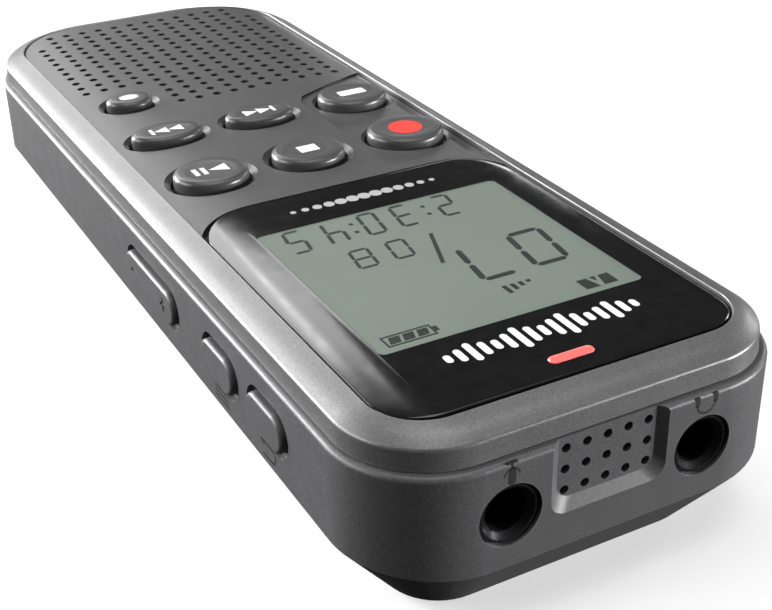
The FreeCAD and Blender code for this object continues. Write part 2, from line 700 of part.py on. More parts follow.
def lcd_holder():
    holder = box(around(0, HOLDER_HALF_W), grown((GLASS_NEAR_Y, GLASS_FAR_Y), HOLDER_LIP),
                 (HOLDER_Z, GLASS_Z[0]))
    light_guide = box(around(0, GUIDE[0]), (GUIDE[1], GLASS_FAR_Y - PAST),
                      (GLASS_Z[0] - GUIDE_DEPTH, GLASS_Z[0] + PAST))
    strip_slot = box(around(0, STRIP_HALF_W + FIT), grown(STRIP_Y, FIT),
                     (HOLDER_Z - PAST, GLASS_Z[0] + PAST))
    return cut(holder, [light_guide, strip_slot])


def lcd_connector():
    return box(around(0, STRIP_HALF_W), STRIP_Y, (BOARD_Z[1], GLASS_Z[0]))


def key_mat():
    sheet = box(around(0, MAT_HALF_W), MAT_Y, MAT_Z)
    tongue = box((-MAT_HALF_W, INDEX_SIDE_X), (MAT_Y[1] - PAST, BOARD_FAR_Y), MAT_Z)
    bosses = [rod(x, y, (MAT_Z[0], MAT_Z[1] + MAT_BOSS), MAT_BOSS_R)
              for name, x, y, half_x, half_y in KEYS]
    mat = fuse([sheet, tongue] + bosses)
    return mat.cut(rod(0, SPEAKER_Y, grown(MAT_Z, PAST), SPEAKER_R + MAT_CLEAR))


def dome_switches():
    domes = []
    for name, x, y, half_x, half_y in KEYS:
        domes.append(Part.makeCone(*DOME_R, DOME_HEIGHT, Vector(x, y, BOARD_Z[1])))
    return Part.makeCompound(domes)


# ---------------------------------------------------------------- side keys
def side_cap(y, back_x):
    """Outer part of a key in the left wall, with a rounded face."""
    face_x = -HALF_W - SIDE_PROUD
    cap = pill_x((face_x, back_x), y, SIDE_Z)
    face_edges = [e for e in cap.Edges if e.BoundBox.XMax < face_x + 0.01]
    return cap.makeFillet(SIDE_EDGE, face_edges)


def side_key(start, end):
    inner, outer, stem_half = SIDE_STEM
    flange_inner, flange_outer = SIDE_FLANGE_X
    cap = side_cap((start, end), -flange_inner)
    flange = pill_x((-flange_outer, -flange_inner), grown((start, end), SIDE_FLANGE),
                    SIDE_FLANGE_Z)
    stem = box((-outer, -inner), around((start + end) / 2, stem_half), SIDE_STEM_Z)
    return fuse([cap, flange, stem])


def rocker_marks():
    """Plus cut into the near end of the rocker's face and minus into its far end."""
    long_half, short_half, depth = ROCKER_MARK
    face_x = -HALF_W - SIDE_PROUD
    x = (face_x - PAST, face_x + depth)
    z = middle_of(SIDE_Z)
    plus_y = ROCKER_Y[0] + ROCKER_MARK_IN
    minus_y = ROCKER_Y[1] - ROCKER_MARK_IN
    return [
        box(x, around(plus_y, long_half), around(z, short_half)),
        box(x, around(plus_y, short_half), around(z, long_half)),
        box(x, around(minus_y, long_half), around(z, short_half)),
    ]


def volume_rocker():
    middle = middle_of(ROCKER_Y)
    cap = side_cap(ROCKER_Y, ROCKER_BACK_X)
    web = box((ROCKER_BACK_X - FIT, PIVOT_X), around(middle, PIVOT_R), (SIDE_Z[0] + FIT, PIVOT_Z[1]))
    beam_x, beam_half, beam_z = ROCKER_BEAM
    beam = box(beam_x, around(middle, beam_half), beam_z)
    pin = rod(PIVOT_X, middle, PIVOT_Z, PIVOT_R)
    arm_x, arm_half, arm_z = ROCKER_ARM
    arms = [box(arm_x, around(middle + side * ROCKER_REACH, arm_half), arm_z) for side in (-1, 1)]
    return cut(fuse([cap, web, beam, pin] + arms), rocker_marks())


def side_switches():
    centres = [middle_of(ROCKER_Y) + side * ROCKER_REACH for side in (-1, 1)]
    centres += [(start + end) / 2 for name, start, end in SIDE_KEYS]
    body_x, body_half, body_low = SWITCH_BODY
    pip_x, pip_half, pip_z = SWITCH_PIP
    switches = []
    for y in centres:
        body = box(body_x, around(y, body_half), (body_low, BOARD_Z[0]))
        pip = box(pip_x, around(y, pip_half), pip_z)
        switches.append(body.fuse(pip).removeSplitter())
    return Part.makeCompound(switches)


# ---------------------------------------------------------------- right side
def hold_slider():
    """Knob in its window, with the wide plate behind the wall and the fork of the switch."""
    face_x = HALF_W + SIDE_PROUD
    middle = middle_of(HOLD_KNOB)
    knob = pill_x((HOLD_FORK[0][1], face_x), HOLD_KNOB, SIDE_Z)
    grooves = []
    for index in range(HOLD_GROOVES):
        y = middle + (index - (HOLD_GROOVES - 1) / 2) * HOLD_GROOVE_PITCH
        grooves.append(box((face_x - HOLD_GROOVE_DEPTH, face_x + PAST),
                           around(y, HOLD_GROOVE_HALF_W), grown(SIDE_Z, PAST)))
    knob = cut(knob, grooves)
    plate_behind = box(*HOLD_PLATE, SIDE_FLANGE_Z)
    fork_x, reach, prong_half, fork_z = HOLD_FORK
    fork = [box(fork_x, around(middle + side * reach, prong_half), fork_z) for side in (-1, 1)]
    return fuse([knob, plate_behind] + fork)


def hold_switch():
    x, y, low = HOLD_BODY
    return box(x, y, (low, BOARD_Z[0]))


def hold_switch_lever():
    x, half, z = HOLD_LEVER
    return box(x, around(middle_of(HOLD_KNOB), half), z)


def usb_socket():
    y = around(USB_Y, USB_HALF_W)
    room = box((USB_X[0] + USB_BACK, USB_X[1] + PAST), grown(y, -USB_SHEET), grown(USB_Z, -USB_SHEET))
    return box(USB_X, y, USB_Z).cut(room)


def usb_tongue():
    x, half, z = USB_TONGUE
    return box(x, around(USB_Y, half), z)


# ---------------------------------------------------------------- microphone end
def jack(x):
    front = -HALF_L + WALL + FIT
    mouth = -HALF_L + JACK_SUNK
    width, length = JACK_BODY
    body = box(around(x, width / 2), (front, front + length), (JACK_BODY_Z, BOARD_Z[0]))
    collar = rod_y(x, (mouth, front + PAST), JACK_Z, JACK_COLLAR_R)
    bore = rod_y(x, (mouth - PAST, mouth + JACK_DEPTH), JACK_Z, JACK_BORE_R)
    bevel = Part.makeCone(JACK_BORE_R + JACK_BEVEL, JACK_BORE_R, JACK_BEVEL,
                          Vector(x, mouth - 0.001, JACK_Z), Vector(0, 1, 0))
    return cut(fuse([body, collar]), [bore, bevel])


def jack_pins(room=0.0):
    """Pins of both jacks through the board, or their holes with some room."""
    pins = []
    for side in (-1, 1):
        for across, y in PINS:
            x = side * JACK_X + across
            pins.append(box(around(x, PIN + room), around(y, PIN + room),
                            (BOARD_Z[0], PIN_TOP)))
    return pins


def mic_capsule():
    inside = -HALF_L + WALL
    can = rod_y(0, (inside + CAPSULE_Y[0], inside + CAPSULE_Y[1]), MIC_ROW_Z, CAPSULE_R)
    port = rod_y(0, (inside, inside + CAPSULE_Y[0] + 2 * FIT), MIC_ROW_Z, CAPSULE_PORT_R)
    return can.cut(port)


def mic_boot():
    inside = -HALF_L + WALL
    boot = rod_y(0, (inside + BOOT_Y[0], inside + BOOT_Y[1]), MIC_ROW_Z, CAPSULE_R + BOOT_WALL)
    room = rod_y(0, (inside + CAPSULE_Y[0], inside + CAPSULE_Y[1]), MIC_ROW_Z, CAPSULE_R + CAPSULE_FIT)
    throat = rod_y(0, (inside, inside + PAST), MIC_ROW_Z, BOOT_THROAT_R)
    leads = rod_y(0, (inside + CAPSULE_Y[1], inside + BOOT_Y[1] + PAST), MIC_ROW_Z, BOOT_LEAD_R)
    return cut(boot, [room, throat, leads])


# ---------------------------------------------------------------- board
def circuit_board():
    board = box(around(0, BOARD_HALF_W), (BOARD_NEAR_Y, BOARD_FAR_Y), BOARD_Z)
    through = grown(BOARD_Z, PAST)
    tools = [rod(0, SPEAKER_Y, through, SPEAKER_R + BOARD_CLEAR)]
    tools += [rod(x, y, through, CASE_SCREW_HOLE_R) for x, y in CASE_SCREWS]
    tools += [rod(x, y, through, BOARD_SCREW_HOLE_R) for x, y in BOARD_SCREWS]
    return cut(board, tools + jack_pins(FIT))


def main_chip():
    """Square chip with legs on all four sides."""
    x, y, low = MAIN_CHIP
    chip = box(x, y, (low, BOARD_Z[0] - FIT))
    reach, half, leg_low = LEG
    leg_z = (leg_low, BOARD_Z[0])
    edge = (x[1] - x[0]) / 2 + reach - FIT
    legs = []
    for side in (-1, 1):
        for step in range(MAIN_CHIP_LEGS):
            along = (step - (MAIN_CHIP_LEGS - 1) / 2) * LEG_PITCH
            legs.append(box(around(middle_of(x) + side * edge, reach),
                            around(middle_of(y) + along, half), leg_z))
            legs.append(box(around(middle_of(x) + along, half),
                            around(middle_of(y) + side * edge, reach), leg_z))
    return fuse([chip] + legs)


def memory_chip():
    x, y, low = MEMORY_CHIP
    return box(x, y, (low, BOARD_Z[0]))


def board_parts():
    """Crystal, regulator and capacitors on the underside, lamp chip on top."""
    parts = [box(x, y, (low, BOARD_Z[0])) for x, y, low in (CRYSTAL, REGULATOR)]
    x, y, low, radius = CAPACITOR
    parts.append(rod(x, y, (low, BOARD_Z[0]), radius))
    half_x, half_y, top = LAMP_CHIP
    parts.append(box(around(LAMP[0], half_x), around(LAMP[1], half_y), (BOARD_Z[1], top)))
    x, first_y, pitch, width, low = SMALL_PART
    for step in range(SMALL_PARTS):
        y = first_y + step * pitch
        parts.append(box(x, (y, y + width), (low, BOARD_Z[0])))
    return Part.makeCompound(parts)


# ---------------------------------------------------------------- speaker
def turned(points):
    """Solid of revolution about the speaker's axis from (radius, height) points."""
    wire = Part.makePolygon([Vector(r, SPEAKER_Y, z) for r, z in points + points[:1]])
    return Part.Face(wire).revolve(Vector(0, SPEAKER_Y, 0), Vector(0, 0, 1), 360)


def speaker_basket():
    top = SPEAKER_Z[1]
    low, inner_low = BASKET_FLOOR
    inner_neck, outer_neck = BASKET_NECK_R
    inner_rim, outer_rim = BASKET_RIM
    return turned([(SPEAKER_R, top), (SPEAKER_R, top - outer_rim), (outer_neck, low),
                   (MAGNET_R + FIT, low), (MAGNET_R + FIT, inner_low), (inner_neck, inner_low),
                   (MESH_R, top - inner_rim), (MESH_R, top)])


def speaker_magnet():
    return turned([(0, SPEAKER_Z[0]), (MAGNET_R, SPEAKER_Z[0]), (MAGNET_R, MAGNET_TOP),
                   (0, MAGNET_TOP)])


def speaker_cone():
    """Thin film with a domed middle."""
    return turned([(0, CONE_TOP_Z[0]), (CONE_WAIST_R, CONE_WAIST_Z[0]),
                   (CONE_EDGE_R, CONE_EDGE_Z[0]), (CONE_EDGE_R, CONE_EDGE_Z[1]),
                   (CONE_WAIST_R, CONE_WAIST_Z[1]), (0, CONE_TOP_Z[1])])


def flat_ring(inner, outer, low, high):
    return turned([(inner, low), (outer, low), (outer, high), (inner, high)])


def speaker_gasket():
    return flat_ring(*GASKET_R, *GASKET_Z)


def speaker_mesh():
    return flat_ring(0, MESH_R, *MESH_Z)


# ---------------------------------------------------------------- battery bay
def cell(x, nub_far):
    """AAA cell; its nub points to the far end or to the near end."""
    start = BAY_NEAR_Y + CONTACT + (SPRING_GAP if nub_far else NUB)
    end = start + CELL_BODY
    body = rod_y(x, (start, end), CELL_Z, CELL_R)
    if nub_far:
        nub = rod_y(x, (end - 0.1, end + NUB), CELL_Z, NUB_R)
    else:
        nub = rod_y(x, (start - NUB, start + 0.1), CELL_Z, NUB_R)
    return fuse([body, nub])


def coil(x, y, direction):
    """Conical contact spring that stands on a plate at y."""
    helix = Part.makeHelix(COIL_PITCH, COIL_HEIGHT, COIL_R, COIL_CONE)
    start = helix.Vertexes[0].Point
    section = Part.Wire([Part.Circle(start, Vector(0, 1, 0), COIL_WIRE_R).toShape()])
    spring = Part.Wire(helix).makePipeShell([section], True, True)
    spring.rotate(Vector(0, 0, 0), Vector(1, 0, 0), -90 * direction)
    spring.translate(Vector(x, y + direction * COIL_WIRE_R, CELL_Z))
    return spring


def battery_contacts():
    """The two near plates, which the wires to the board start from."""
    near = (BAY_NEAR_Y, BAY_NEAR_Y + CONTACT)
    return [box(around(side * CELL_X, CONTACT_HALF_W), near, CONTACT_Z) for side in (-1, 1)]


def battery_bridge():
    return box(around(0, CELL_X + CONTACT_HALF_W), (BAY_FAR_Y - CONTACT, BAY_FAR_Y), CONTACT_Z)


def battery_door():
    panel = box(around(0, BAY_HALF_W - FIT), (DOOR_NEAR_Y, HALF_L), (0, DOOR_THICK))
    tongues = box(around(0, BAY_HALF_W + TONGUE), (DOOR_NEAR_Y + PAST, HALF_L), TONGUE_Z)
    door = panel.fuse(tongues).common(hull())
    grips = []
    for row in range(GRIPS):
        y = GRIP_FIRST_Y + row * GRIP_PITCH
        grips.append(box(around(0, GRIP_HALF_LENGTH), (y, y + GRIP_WIDTH), (-PAST, GRIP_DEPTH)))
    return cut(door, grips).removeSplitter()


# ---------------------------------------------------------------- fasteners
def screw(x, y, z, head_r, shank_r, length):
    """Pan-head screw driven upwards, head at z, with a cross recess."""
    head = rod(x, y, (z, z + HEAD_HEIGHT), head_r)
    shank = rod(x, y, (z + HEAD_HEIGHT - FIT, z + length), shank_r)
    long_half, short_half, depth = CROSS
    recess = (z - PAST, z + depth)
    slots = [box(around(x, long_half), around(y, short_half), recess),
             box(around(x, short_half), around(y, long_half), recess)]
    return cut(fuse([head, shank]), slots)


def screws(places, sizes):
    return Part.makeCompound([screw(x, y, *sizes) for x, y in places])


# ---------------------------------------------------------------- write every node
save("bottom_shell", bottom_shell())
save("top_shell", top_shell())
save("keypad_panel", keypad_panel())
save("display_lens", display_lens())
save("lamp_light_pipe", lamp_light_pipe())
save("lcd_glass", lcd_glass())
save("lcd_holder", lcd_holder())
save("lcd_connector", lcd_connector())
for name, x, y, half_x, half_y in KEYS:
    save(name, key_cap(x, y, half_x, half_y))
save("key_mat", key_mat())
save("dome_switches", dome_switches())
for name, start, end in SIDE_KEYS:
    save(name, side_key(start, end))
save("volume_rocker", volume_rocker())
save("side_switches", side_switches())
save("hold_slider", hold_slider())
save("hold_switch", hold_switch())
save("hold_switch_lever", hold_switch_lever())
save("usb_socket", usb_socket())
save("usb_tongue", usb_tongue())
save("mic_jack", jack(-JACK_X))
save("earphone_jack", jack(JACK_X))
save("jack_pins", Part.makeCompound(jack_pins()))
save("mic_capsule", mic_capsule())
save("mic_boot", mic_boot())
save("circuit_board", circuit_board())
save("main_chip", main_chip())
save("memory_chip", memory_chip())
save("board_parts", board_parts())
save("speaker_basket", speaker_basket())
save("speaker_magnet", speaker_magnet())
save("speaker_cone", speaker_cone())
save("speaker_gasket", speaker_gasket())
save("speaker_mesh", speaker_mesh())
save("battery_left", cell(-CELL_X, True))
save("battery_right", cell(CELL_X, False))
save("battery_spring_near", coil(-CELL_X, BAY_NEAR_Y + CONTACT, 1))
save("battery_spring_far", coil(CELL_X, BAY_FAR_Y - CONTACT, -1))
save("battery_contacts", Part.makeCompound(battery_contacts()))
save("battery_bridge", battery_bridge())
save("battery_door", battery_door())
save("case_screws", screws(CASE_SCREWS, CASE_SCREW))
save("board_screws", screws(BOARD_SCREWS, BOARD_SCREW))
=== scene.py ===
"""Handheld voice recorder: looks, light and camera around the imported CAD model.

Lengths are in millimetres in the CAD frame and are turned into metres when a mesh is made.
-Y is the end with the microphone and the jacks, -X the side with the rocker, +Z is up.
"""

import json
from math import cos, pi, radians, sin, tan

import bmesh
import bpy
from mathutils import Matrix, Vector


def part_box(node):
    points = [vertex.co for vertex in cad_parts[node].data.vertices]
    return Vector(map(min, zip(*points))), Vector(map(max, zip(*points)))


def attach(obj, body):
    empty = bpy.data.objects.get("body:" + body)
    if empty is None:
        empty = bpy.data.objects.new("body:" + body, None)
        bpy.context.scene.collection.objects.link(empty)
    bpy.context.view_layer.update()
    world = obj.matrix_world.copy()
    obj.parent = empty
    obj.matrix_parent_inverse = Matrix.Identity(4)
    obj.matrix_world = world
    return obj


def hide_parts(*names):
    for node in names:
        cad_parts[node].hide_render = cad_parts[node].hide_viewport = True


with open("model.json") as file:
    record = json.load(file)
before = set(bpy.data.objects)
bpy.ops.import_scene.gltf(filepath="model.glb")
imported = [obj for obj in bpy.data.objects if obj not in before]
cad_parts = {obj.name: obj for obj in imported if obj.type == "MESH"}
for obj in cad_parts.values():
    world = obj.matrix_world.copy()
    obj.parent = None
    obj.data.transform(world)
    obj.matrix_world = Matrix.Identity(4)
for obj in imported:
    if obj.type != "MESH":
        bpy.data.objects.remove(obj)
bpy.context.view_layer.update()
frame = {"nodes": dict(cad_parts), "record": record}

MM = 0.001


def box_mm(node):
    """Lowest and highest corner of a CAD node in millimetres."""
    low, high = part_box(node)
    return low / MM, high / MM


# ---------------------------------------------------------------- sizes, from the CAD model
case_high = box_mm("bottom_shell")[1]
shell_high = box_mm("top_shell")[1]
panel_low, panel_high = box_mm("keypad_panel")
lens_low, lens_high = box_mm("display_lens")
lamp_low, lamp_high = box_mm("lamp_light_pipe")
glass_low, glass_high = box_mm("lcd_glass")

HALF_W = case_high.x
HALF_L = case_high.y
TOP = shell_high.z
LEDGE_Z = case_high.z
SEAM = 0.35              # round the lens and the panel
CREST_HALF_W = panel_high.x + SEAM / 2
CREST_NEAR = lens_low.y - SEAM / 2
CREST_FAR = panel_high.y + SEAM / 2

CORNER_STEPS = 20
SHARP = 32               # degrees: faces that meet at more than this have a hard edge
EDGE_ROUND = 0.12        # round on the edges of nodes and pieces that come from the CAD model

KEYS = ["play_pause_key", "stop_key", "record_key", "forward_key", "rewind_key", "file_key",
        "index_key"]


# ---------------------------------------------------------------- mesh helpers
def ring(half_w, near, far, r_near, r_far, z):
    """Points round a rectangle with round corners, as many on every ring."""
    corners = [
        (-1, near, 1, r_near, 180),
        (1, near, 1, r_near, 270),
        (1, far, -1, r_far, 0),
        (-1, far, -1, r_far, 90),
    ]
    points = []
    for side, edge, inward, radius, start in corners:
        cx = side * (half_w - radius)
        cy = edge + inward * radius
        for step in range(CORNER_STEPS + 1):
            angle = radians(start + 90 * step / CORNER_STEPS)
            points.append(Vector((cx + radius * cos(angle), cy + radius * sin(angle), z)))
    return points


def oval_ring(x, y, half_x, half_y, z, steps=96):
    points = []
    for step in range(steps):
        angle = 2 * pi * step / steps
        points.append(Vector((x + half_x * cos(angle), y + half_y * sin(angle), z)))
    return points


def pill_ring(x, y, half_x, half_y, z, steps=16):
    """Points round a pill whose long way is X."""
    points = []
    for side, start in ((1, -90), (-1, 90)):
        cx = x + side * (half_x - half_y)
        for step in range(steps + 1):
            angle = radians(start + 180 * step / steps)
            points.append(Vector((cx + half_y * cos(angle), y + half_y * sin(angle), z)))
    return points


def round_corner(before, corner, after, radius, steps):
    """Points of the arc that rounds one corner of a path."""
    nearly_straight = radians(89)
    most_of_a_side = 0.48
    towards = (before - corner).normalized()
    onwards = (after - corner).normalized()
    half = towards.angle(onwards) / 2
    if half > nearly_straight:
        return [corner] * (steps + 1)
    room = most_of_a_side * min((before - corner).length, (after - corner).length)
    reach = min(radius / tan(half), room)
    true_radius = reach * tan(half)
    centre = corner + (towards + onwards).normalized() * (true_radius / sin(half))
    first = corner + towards * reach - centre
    last = corner + onwards * reach - centre
    turn = first.angle(last)
    points = []
    for step in range(steps + 1):
        part = step / steps
        arm = (first * sin((1 - part) * turn) + last * sin(part * turn)) / sin(turn)
        points.append(centre + arm)
    return points


def rounded_rings(rings, radii, steps=6, closed=False):
    """Rings through which every column is rounded at each ring by that ring's radius."""
    count = len(rings)
    columns = []
    for column in range(len(rings[0])):
        path = [rings[index][column] for index in range(count)]
        points = []
        for index, radius in enumerate(radii):
            if radius and (closed or 0 < index < count - 1):
                points += round_corner(path[index - 1], path[index], path[(index + 1) % count],
                                       radius, steps)
            else:
                points.append(path[index])
        columns.append(points)
    return [[column[index] for column in columns] for index in range(len(columns[0]))]


def loft(rings, closed=False, cap_first=True, cap_last=True):
    """Mesh that joins rings in turn; closed joins the last to the first."""
    mesh = bmesh.new()
    rows = [[mesh.verts.new(point * MM) for point in points] for points in rings]
    pairs = list(zip(rows, rows[1:]))
    if closed:
        pairs.append((rows[-1], rows[0]))
    count = len(rows[0])
    for lower, upper in pairs:
        for index in range(count):
            following = (index + 1) % count
            mesh.faces.new((lower[index], lower[following], upper[following], upper[index]))
    if not closed and cap_first:
        mesh.faces.new(list(reversed(rows[0])))
    if not closed and cap_last:
        mesh.faces.new(rows[-1])
    bmesh.ops.remove_doubles(mesh, verts=mesh.verts, dist=1e-7)
    bmesh.ops.recalc_face_normals(mesh, faces=mesh.faces)
    return mesh


def prism(outline, place, low, high, mesh=None):
    """Thin solid over a flat outline; place(u, v, height) gives the point in the CAD frame."""
    mesh = mesh or bmesh.new()
    bottom = [mesh.verts.new(place(u, v, low) * MM) for u, v in outline]
    top = [mesh.verts.new(place(u, v, high) * MM) for u, v in outline]
    made = [mesh.faces.new(list(reversed(bottom))), mesh.faces.new(top)]
    for index in range(len(outline)):
        following = (index + 1) % len(outline)
        made.append(mesh.faces.new((bottom[index], bottom[following], top[following],
                                    top[index])))
    bmesh.ops.recalc_face_normals(mesh, faces=made)
    return mesh


def rectangle(u0, v0, u1, v1):
    return [(u0, v0), (u1, v0), (u1, v1), (u0, v1)]


def block(low, high):
    """Box mesh between two corners."""
    outline = rectangle(low[0], low[1], high[0], high[1])
    return prism(outline, lambda u, v, z: Vector((u, v, z)), low[2], high[2])


def add_object(name, mesh):
    data = bpy.data.meshes.new(name)
    mesh.to_mesh(data)
    mesh.free()
    thing = bpy.data.objects.new(name, data)
    bpy.context.scene.collection.objects.link(thing)
    return thing


def carve(thing, cutters):
    """Cut meshes out of an object for good."""
    for cutter_mesh in cutters:
        cutter = add_object("cutter", cutter_mesh)
        cut = thing.modifiers.new("cut", "BOOLEAN")
        cut.operation = "DIFFERENCE"
        cut.solver = "EXACT"
        cut.object = cutter
        graph = bpy.context.evaluated_depsgraph_get()
        result = bpy.data.meshes.new_from_object(thing.evaluated_get(graph))
        thing.modifiers.remove(cut)
        old = thing.data
        thing.data = result
        bpy.data.meshes.remove(old)
        bpy.data.objects.remove(cutter)


def shade(thing):
    """Smooth surfaces that keep their hard edges."""
    mesh = bmesh.new()
    mesh.from_mesh(thing.data)
    for edge in mesh.edges:
        edge.smooth = edge.calc_face_angle(0.0) < radians(SHARP)
    for face in mesh.faces:
        face.smooth = True
    mesh.to_mesh(thing.data)
    mesh.free()
    weigh = thing.modifiers.new("weigh", "WEIGHTED_NORMAL")
    weigh.keep_sharp = True


def soften_edges(thing):
    """Small round on every hard edge, worked out before the normals."""
    soft = thing.modifiers.new("edge", "BEVEL")
    soft.width = EDGE_ROUND * MM
    soft.segments = 3
    soft.limit_method = "ANGLE"
    soft.angle_limit = radians(SHARP)
    soft.use_clamp_overlap = True
    if "weigh" in thing.modifiers:
        thing.modifiers.move(len(thing.modifiers) - 1, 0)


def piece(name, mesh, material, body="case", replaces=(), cutters=(), smooth=True):
    """Finished object that rides on a CAD body."""
    thing = add_object(name, mesh)
    carve(thing, cutters)
    if smooth:
        shade(thing)
    thing.data.materials.clear()
    thing.data.materials.append(material)
    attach(thing, body)
    if replaces:
        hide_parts(*replaces)
    return thing


# ---------------------------------------------------------------- materials
# Noise scales are in cycles per metre.
BLOTCH_SCALE = 90.0
SMUDGE_SCALE = 420.0
CLOUD_SCALE = 1400.0
DULL_SCALE = 350.0
LINES_SCALE = 900.0
LINES_DEPTH = 1.5e-6     # metres
LCD_GRAIN_SCALE = 5200.0
LCD_CLOUD_SCALE = 55.0
WORN_PALER = 2.2         # colour of a worn edge against the surface
WORN_POLISH = 0.12       # how much smoother a worn edge is
WEAR_RADIUS = 0.0003     # metres
DRAWN_OUT = (0.15, 6.0, 6.0)     # stretch of a metal's drawn lines
LCD_GREEN = (0.185, 0.221, 0.189)


def nodes_of(name):
    material = bpy.data.materials.new(name)
    material.use_nodes = True
    return material, material.node_tree


def noise(tree, coords, scale, detail=2.0, rough=0.5):
    node = tree.nodes.new("ShaderNodeTexNoise")
    node.inputs["Scale"].default_value = scale
    node.inputs["Detail"].default_value = detail
    node.inputs["Roughness"].default_value = rough
    tree.links.new(coords, node.inputs["Vector"])
    return node.outputs["Fac"]


def spread(tree, value, low, high, out_low=0.0, out_high=1.0):
    """Map low..high of a value to out_low..out_high, held at both ends."""
    node = tree.nodes.new("ShaderNodeMapRange")
    node.inputs["From Min"].default_value = low
    node.inputs["From Max"].default_value = high
    node.inputs["To Min"].default_value = out_low
    node.inputs["To Max"].default_value = out_high
    tree.links.new(value, node.inputs["Value"])
    return node.outputs["Result"]


def mix_colour(tree, factor, first, second):
    node = tree.nodes.new("ShaderNodeMix")
    node.data_type = "RGBA"
    tree.links.new(factor, node.inputs["Factor"])
    for socket, colour in ((node.inputs["A"], first), (node.inputs["B"], second)):
        if isinstance(colour, tuple):
            socket.default_value = (*colour, 1)
        else:
            tree.links.new(colour, socket)
    return node.outputs["Result"]


def combine(tree, first, second, operation):
    """Two values multiplied or subtracted, held between nought and one."""
    node = tree.nodes.new("ShaderNodeMath")
    node.operation = operation
    node.use_clamp = True
    tree.links.new(first, node.inputs[0])
    tree.links.new(second, node.inputs[1])
    return node.outputs[0]


def edge_mask(tree):
    """One on convex and concave edges, nought on open surfaces."""
    rounded = tree.nodes.new("ShaderNodeBevel")
    rounded.samples = 4
    rounded.inputs["Radius"].default_value = WEAR_RADIUS
    geometry = tree.nodes.new("ShaderNodeNewGeometry")
    dot = tree.nodes.new("ShaderNodeVectorMath")
    dot.operation = "DOT_PRODUCT"
    tree.links.new(rounded.outputs["Normal"], dot.inputs[0])
    tree.links.new(geometry.outputs["Normal"], dot.inputs[1])
    return spread(tree, dot.outputs["Value"], 0.999, 0.93)


def scaled(colour, factor):
    return tuple(min(1.0, part * factor) for part in colour)


def moulded(name, colour, rough, grain=6500.0, grain_depth=6e-6, speckle=0.25, metallic=0.0,
            coat=0.0, coat_rough=0.1, wear=0.0, specular=0.5, smears=0.04):
    """Moulded or painted surface: fine grain, faint blotches, smudges and worn edges."""
    material, tree = nodes_of(name)
    shader = tree.nodes["Principled BSDF"]
    coords = tree.nodes.new("ShaderNodeTexCoord").outputs["Object"]
    fine = noise(tree, coords, grain, 2.0, 0.6)
    blotch = noise(tree, coords, BLOTCH_SCALE, 3.0)
    smudge = noise(tree, coords, SMUDGE_SCALE, 4.0, 0.6)
    speck = spread(tree, fine, 0.32, 0.68)
    base = mix_colour(tree, speck, scaled(colour, 1 - speckle), scaled(colour, 1 + speckle))
    tint = spread(tree, blotch, 0.3, 0.7, 0.0, 0.35)
    base = mix_colour(tree, tint, base, scaled(colour, 0.93))
    roughness = spread(tree, smudge, 0.3, 0.75, rough - smears, rough + smears)
    if wear:
        worn = edge_mask(tree)
        patchy = spread(tree, smudge, 0.35, 0.65, 0.35, 1.0)
        worn = combine(tree, worn, patchy, "MULTIPLY")
        base = mix_colour(tree, spread(tree, worn, 0.0, 1.0, 0.0, wear), base,
                          scaled(colour, WORN_PALER))
        polish = spread(tree, worn, 0.0, 1.0, 0.0, WORN_POLISH)
        roughness = combine(tree, roughness, polish, "SUBTRACT")
    bump = tree.nodes.new("ShaderNodeBump")
    bump.inputs["Strength"].default_value = 1.0
    bump.inputs["Distance"].default_value = grain_depth
    tree.links.new(fine, bump.inputs["Height"])
    tree.links.new(bump.outputs["Normal"], shader.inputs["Normal"])
    tree.links.new(base, shader.inputs["Base Color"])
    tree.links.new(roughness, shader.inputs["Roughness"])
    shader.inputs["Metallic"].default_value = metallic
    shader.inputs["Specular IOR Level"].default_value = specular
    shader.inputs["Coat Weight"].default_value = coat
    shader.inputs["Coat Roughness"].default_value = coat_rough
    return material


def lit(name, colour, rough, glow, strength):
    """Translucent coloured moulding with a faint glow and a clouded middle."""
    material, tree = nodes_of(name)
    shader = tree.nodes["Principled BSDF"]
    coords = tree.nodes.new("ShaderNodeTexCoord").outputs["Object"]
    cloud = noise(tree, coords, CLOUD_SCALE, 3.0)
    base = mix_colour(tree, spread(tree, cloud, 0.3, 0.7), colour, scaled(colour, 0.85))
    tree.links.new(base, shader.inputs["Base Color"])
    tree.links.new(spread(tree, cloud, 0.3, 0.7, rough, rough + 0.08),
                   shader.inputs["Roughness"])
    tree.links.new(mix_colour(tree, spread(tree, cloud, 0.3, 0.7), glow, scaled(glow, 0.8)),
                   shader.inputs["Emission Color"])
    shader.inputs["Emission Strength"].default_value = strength
    shader.inputs["Coat Weight"].default_value = 0.5
    return material


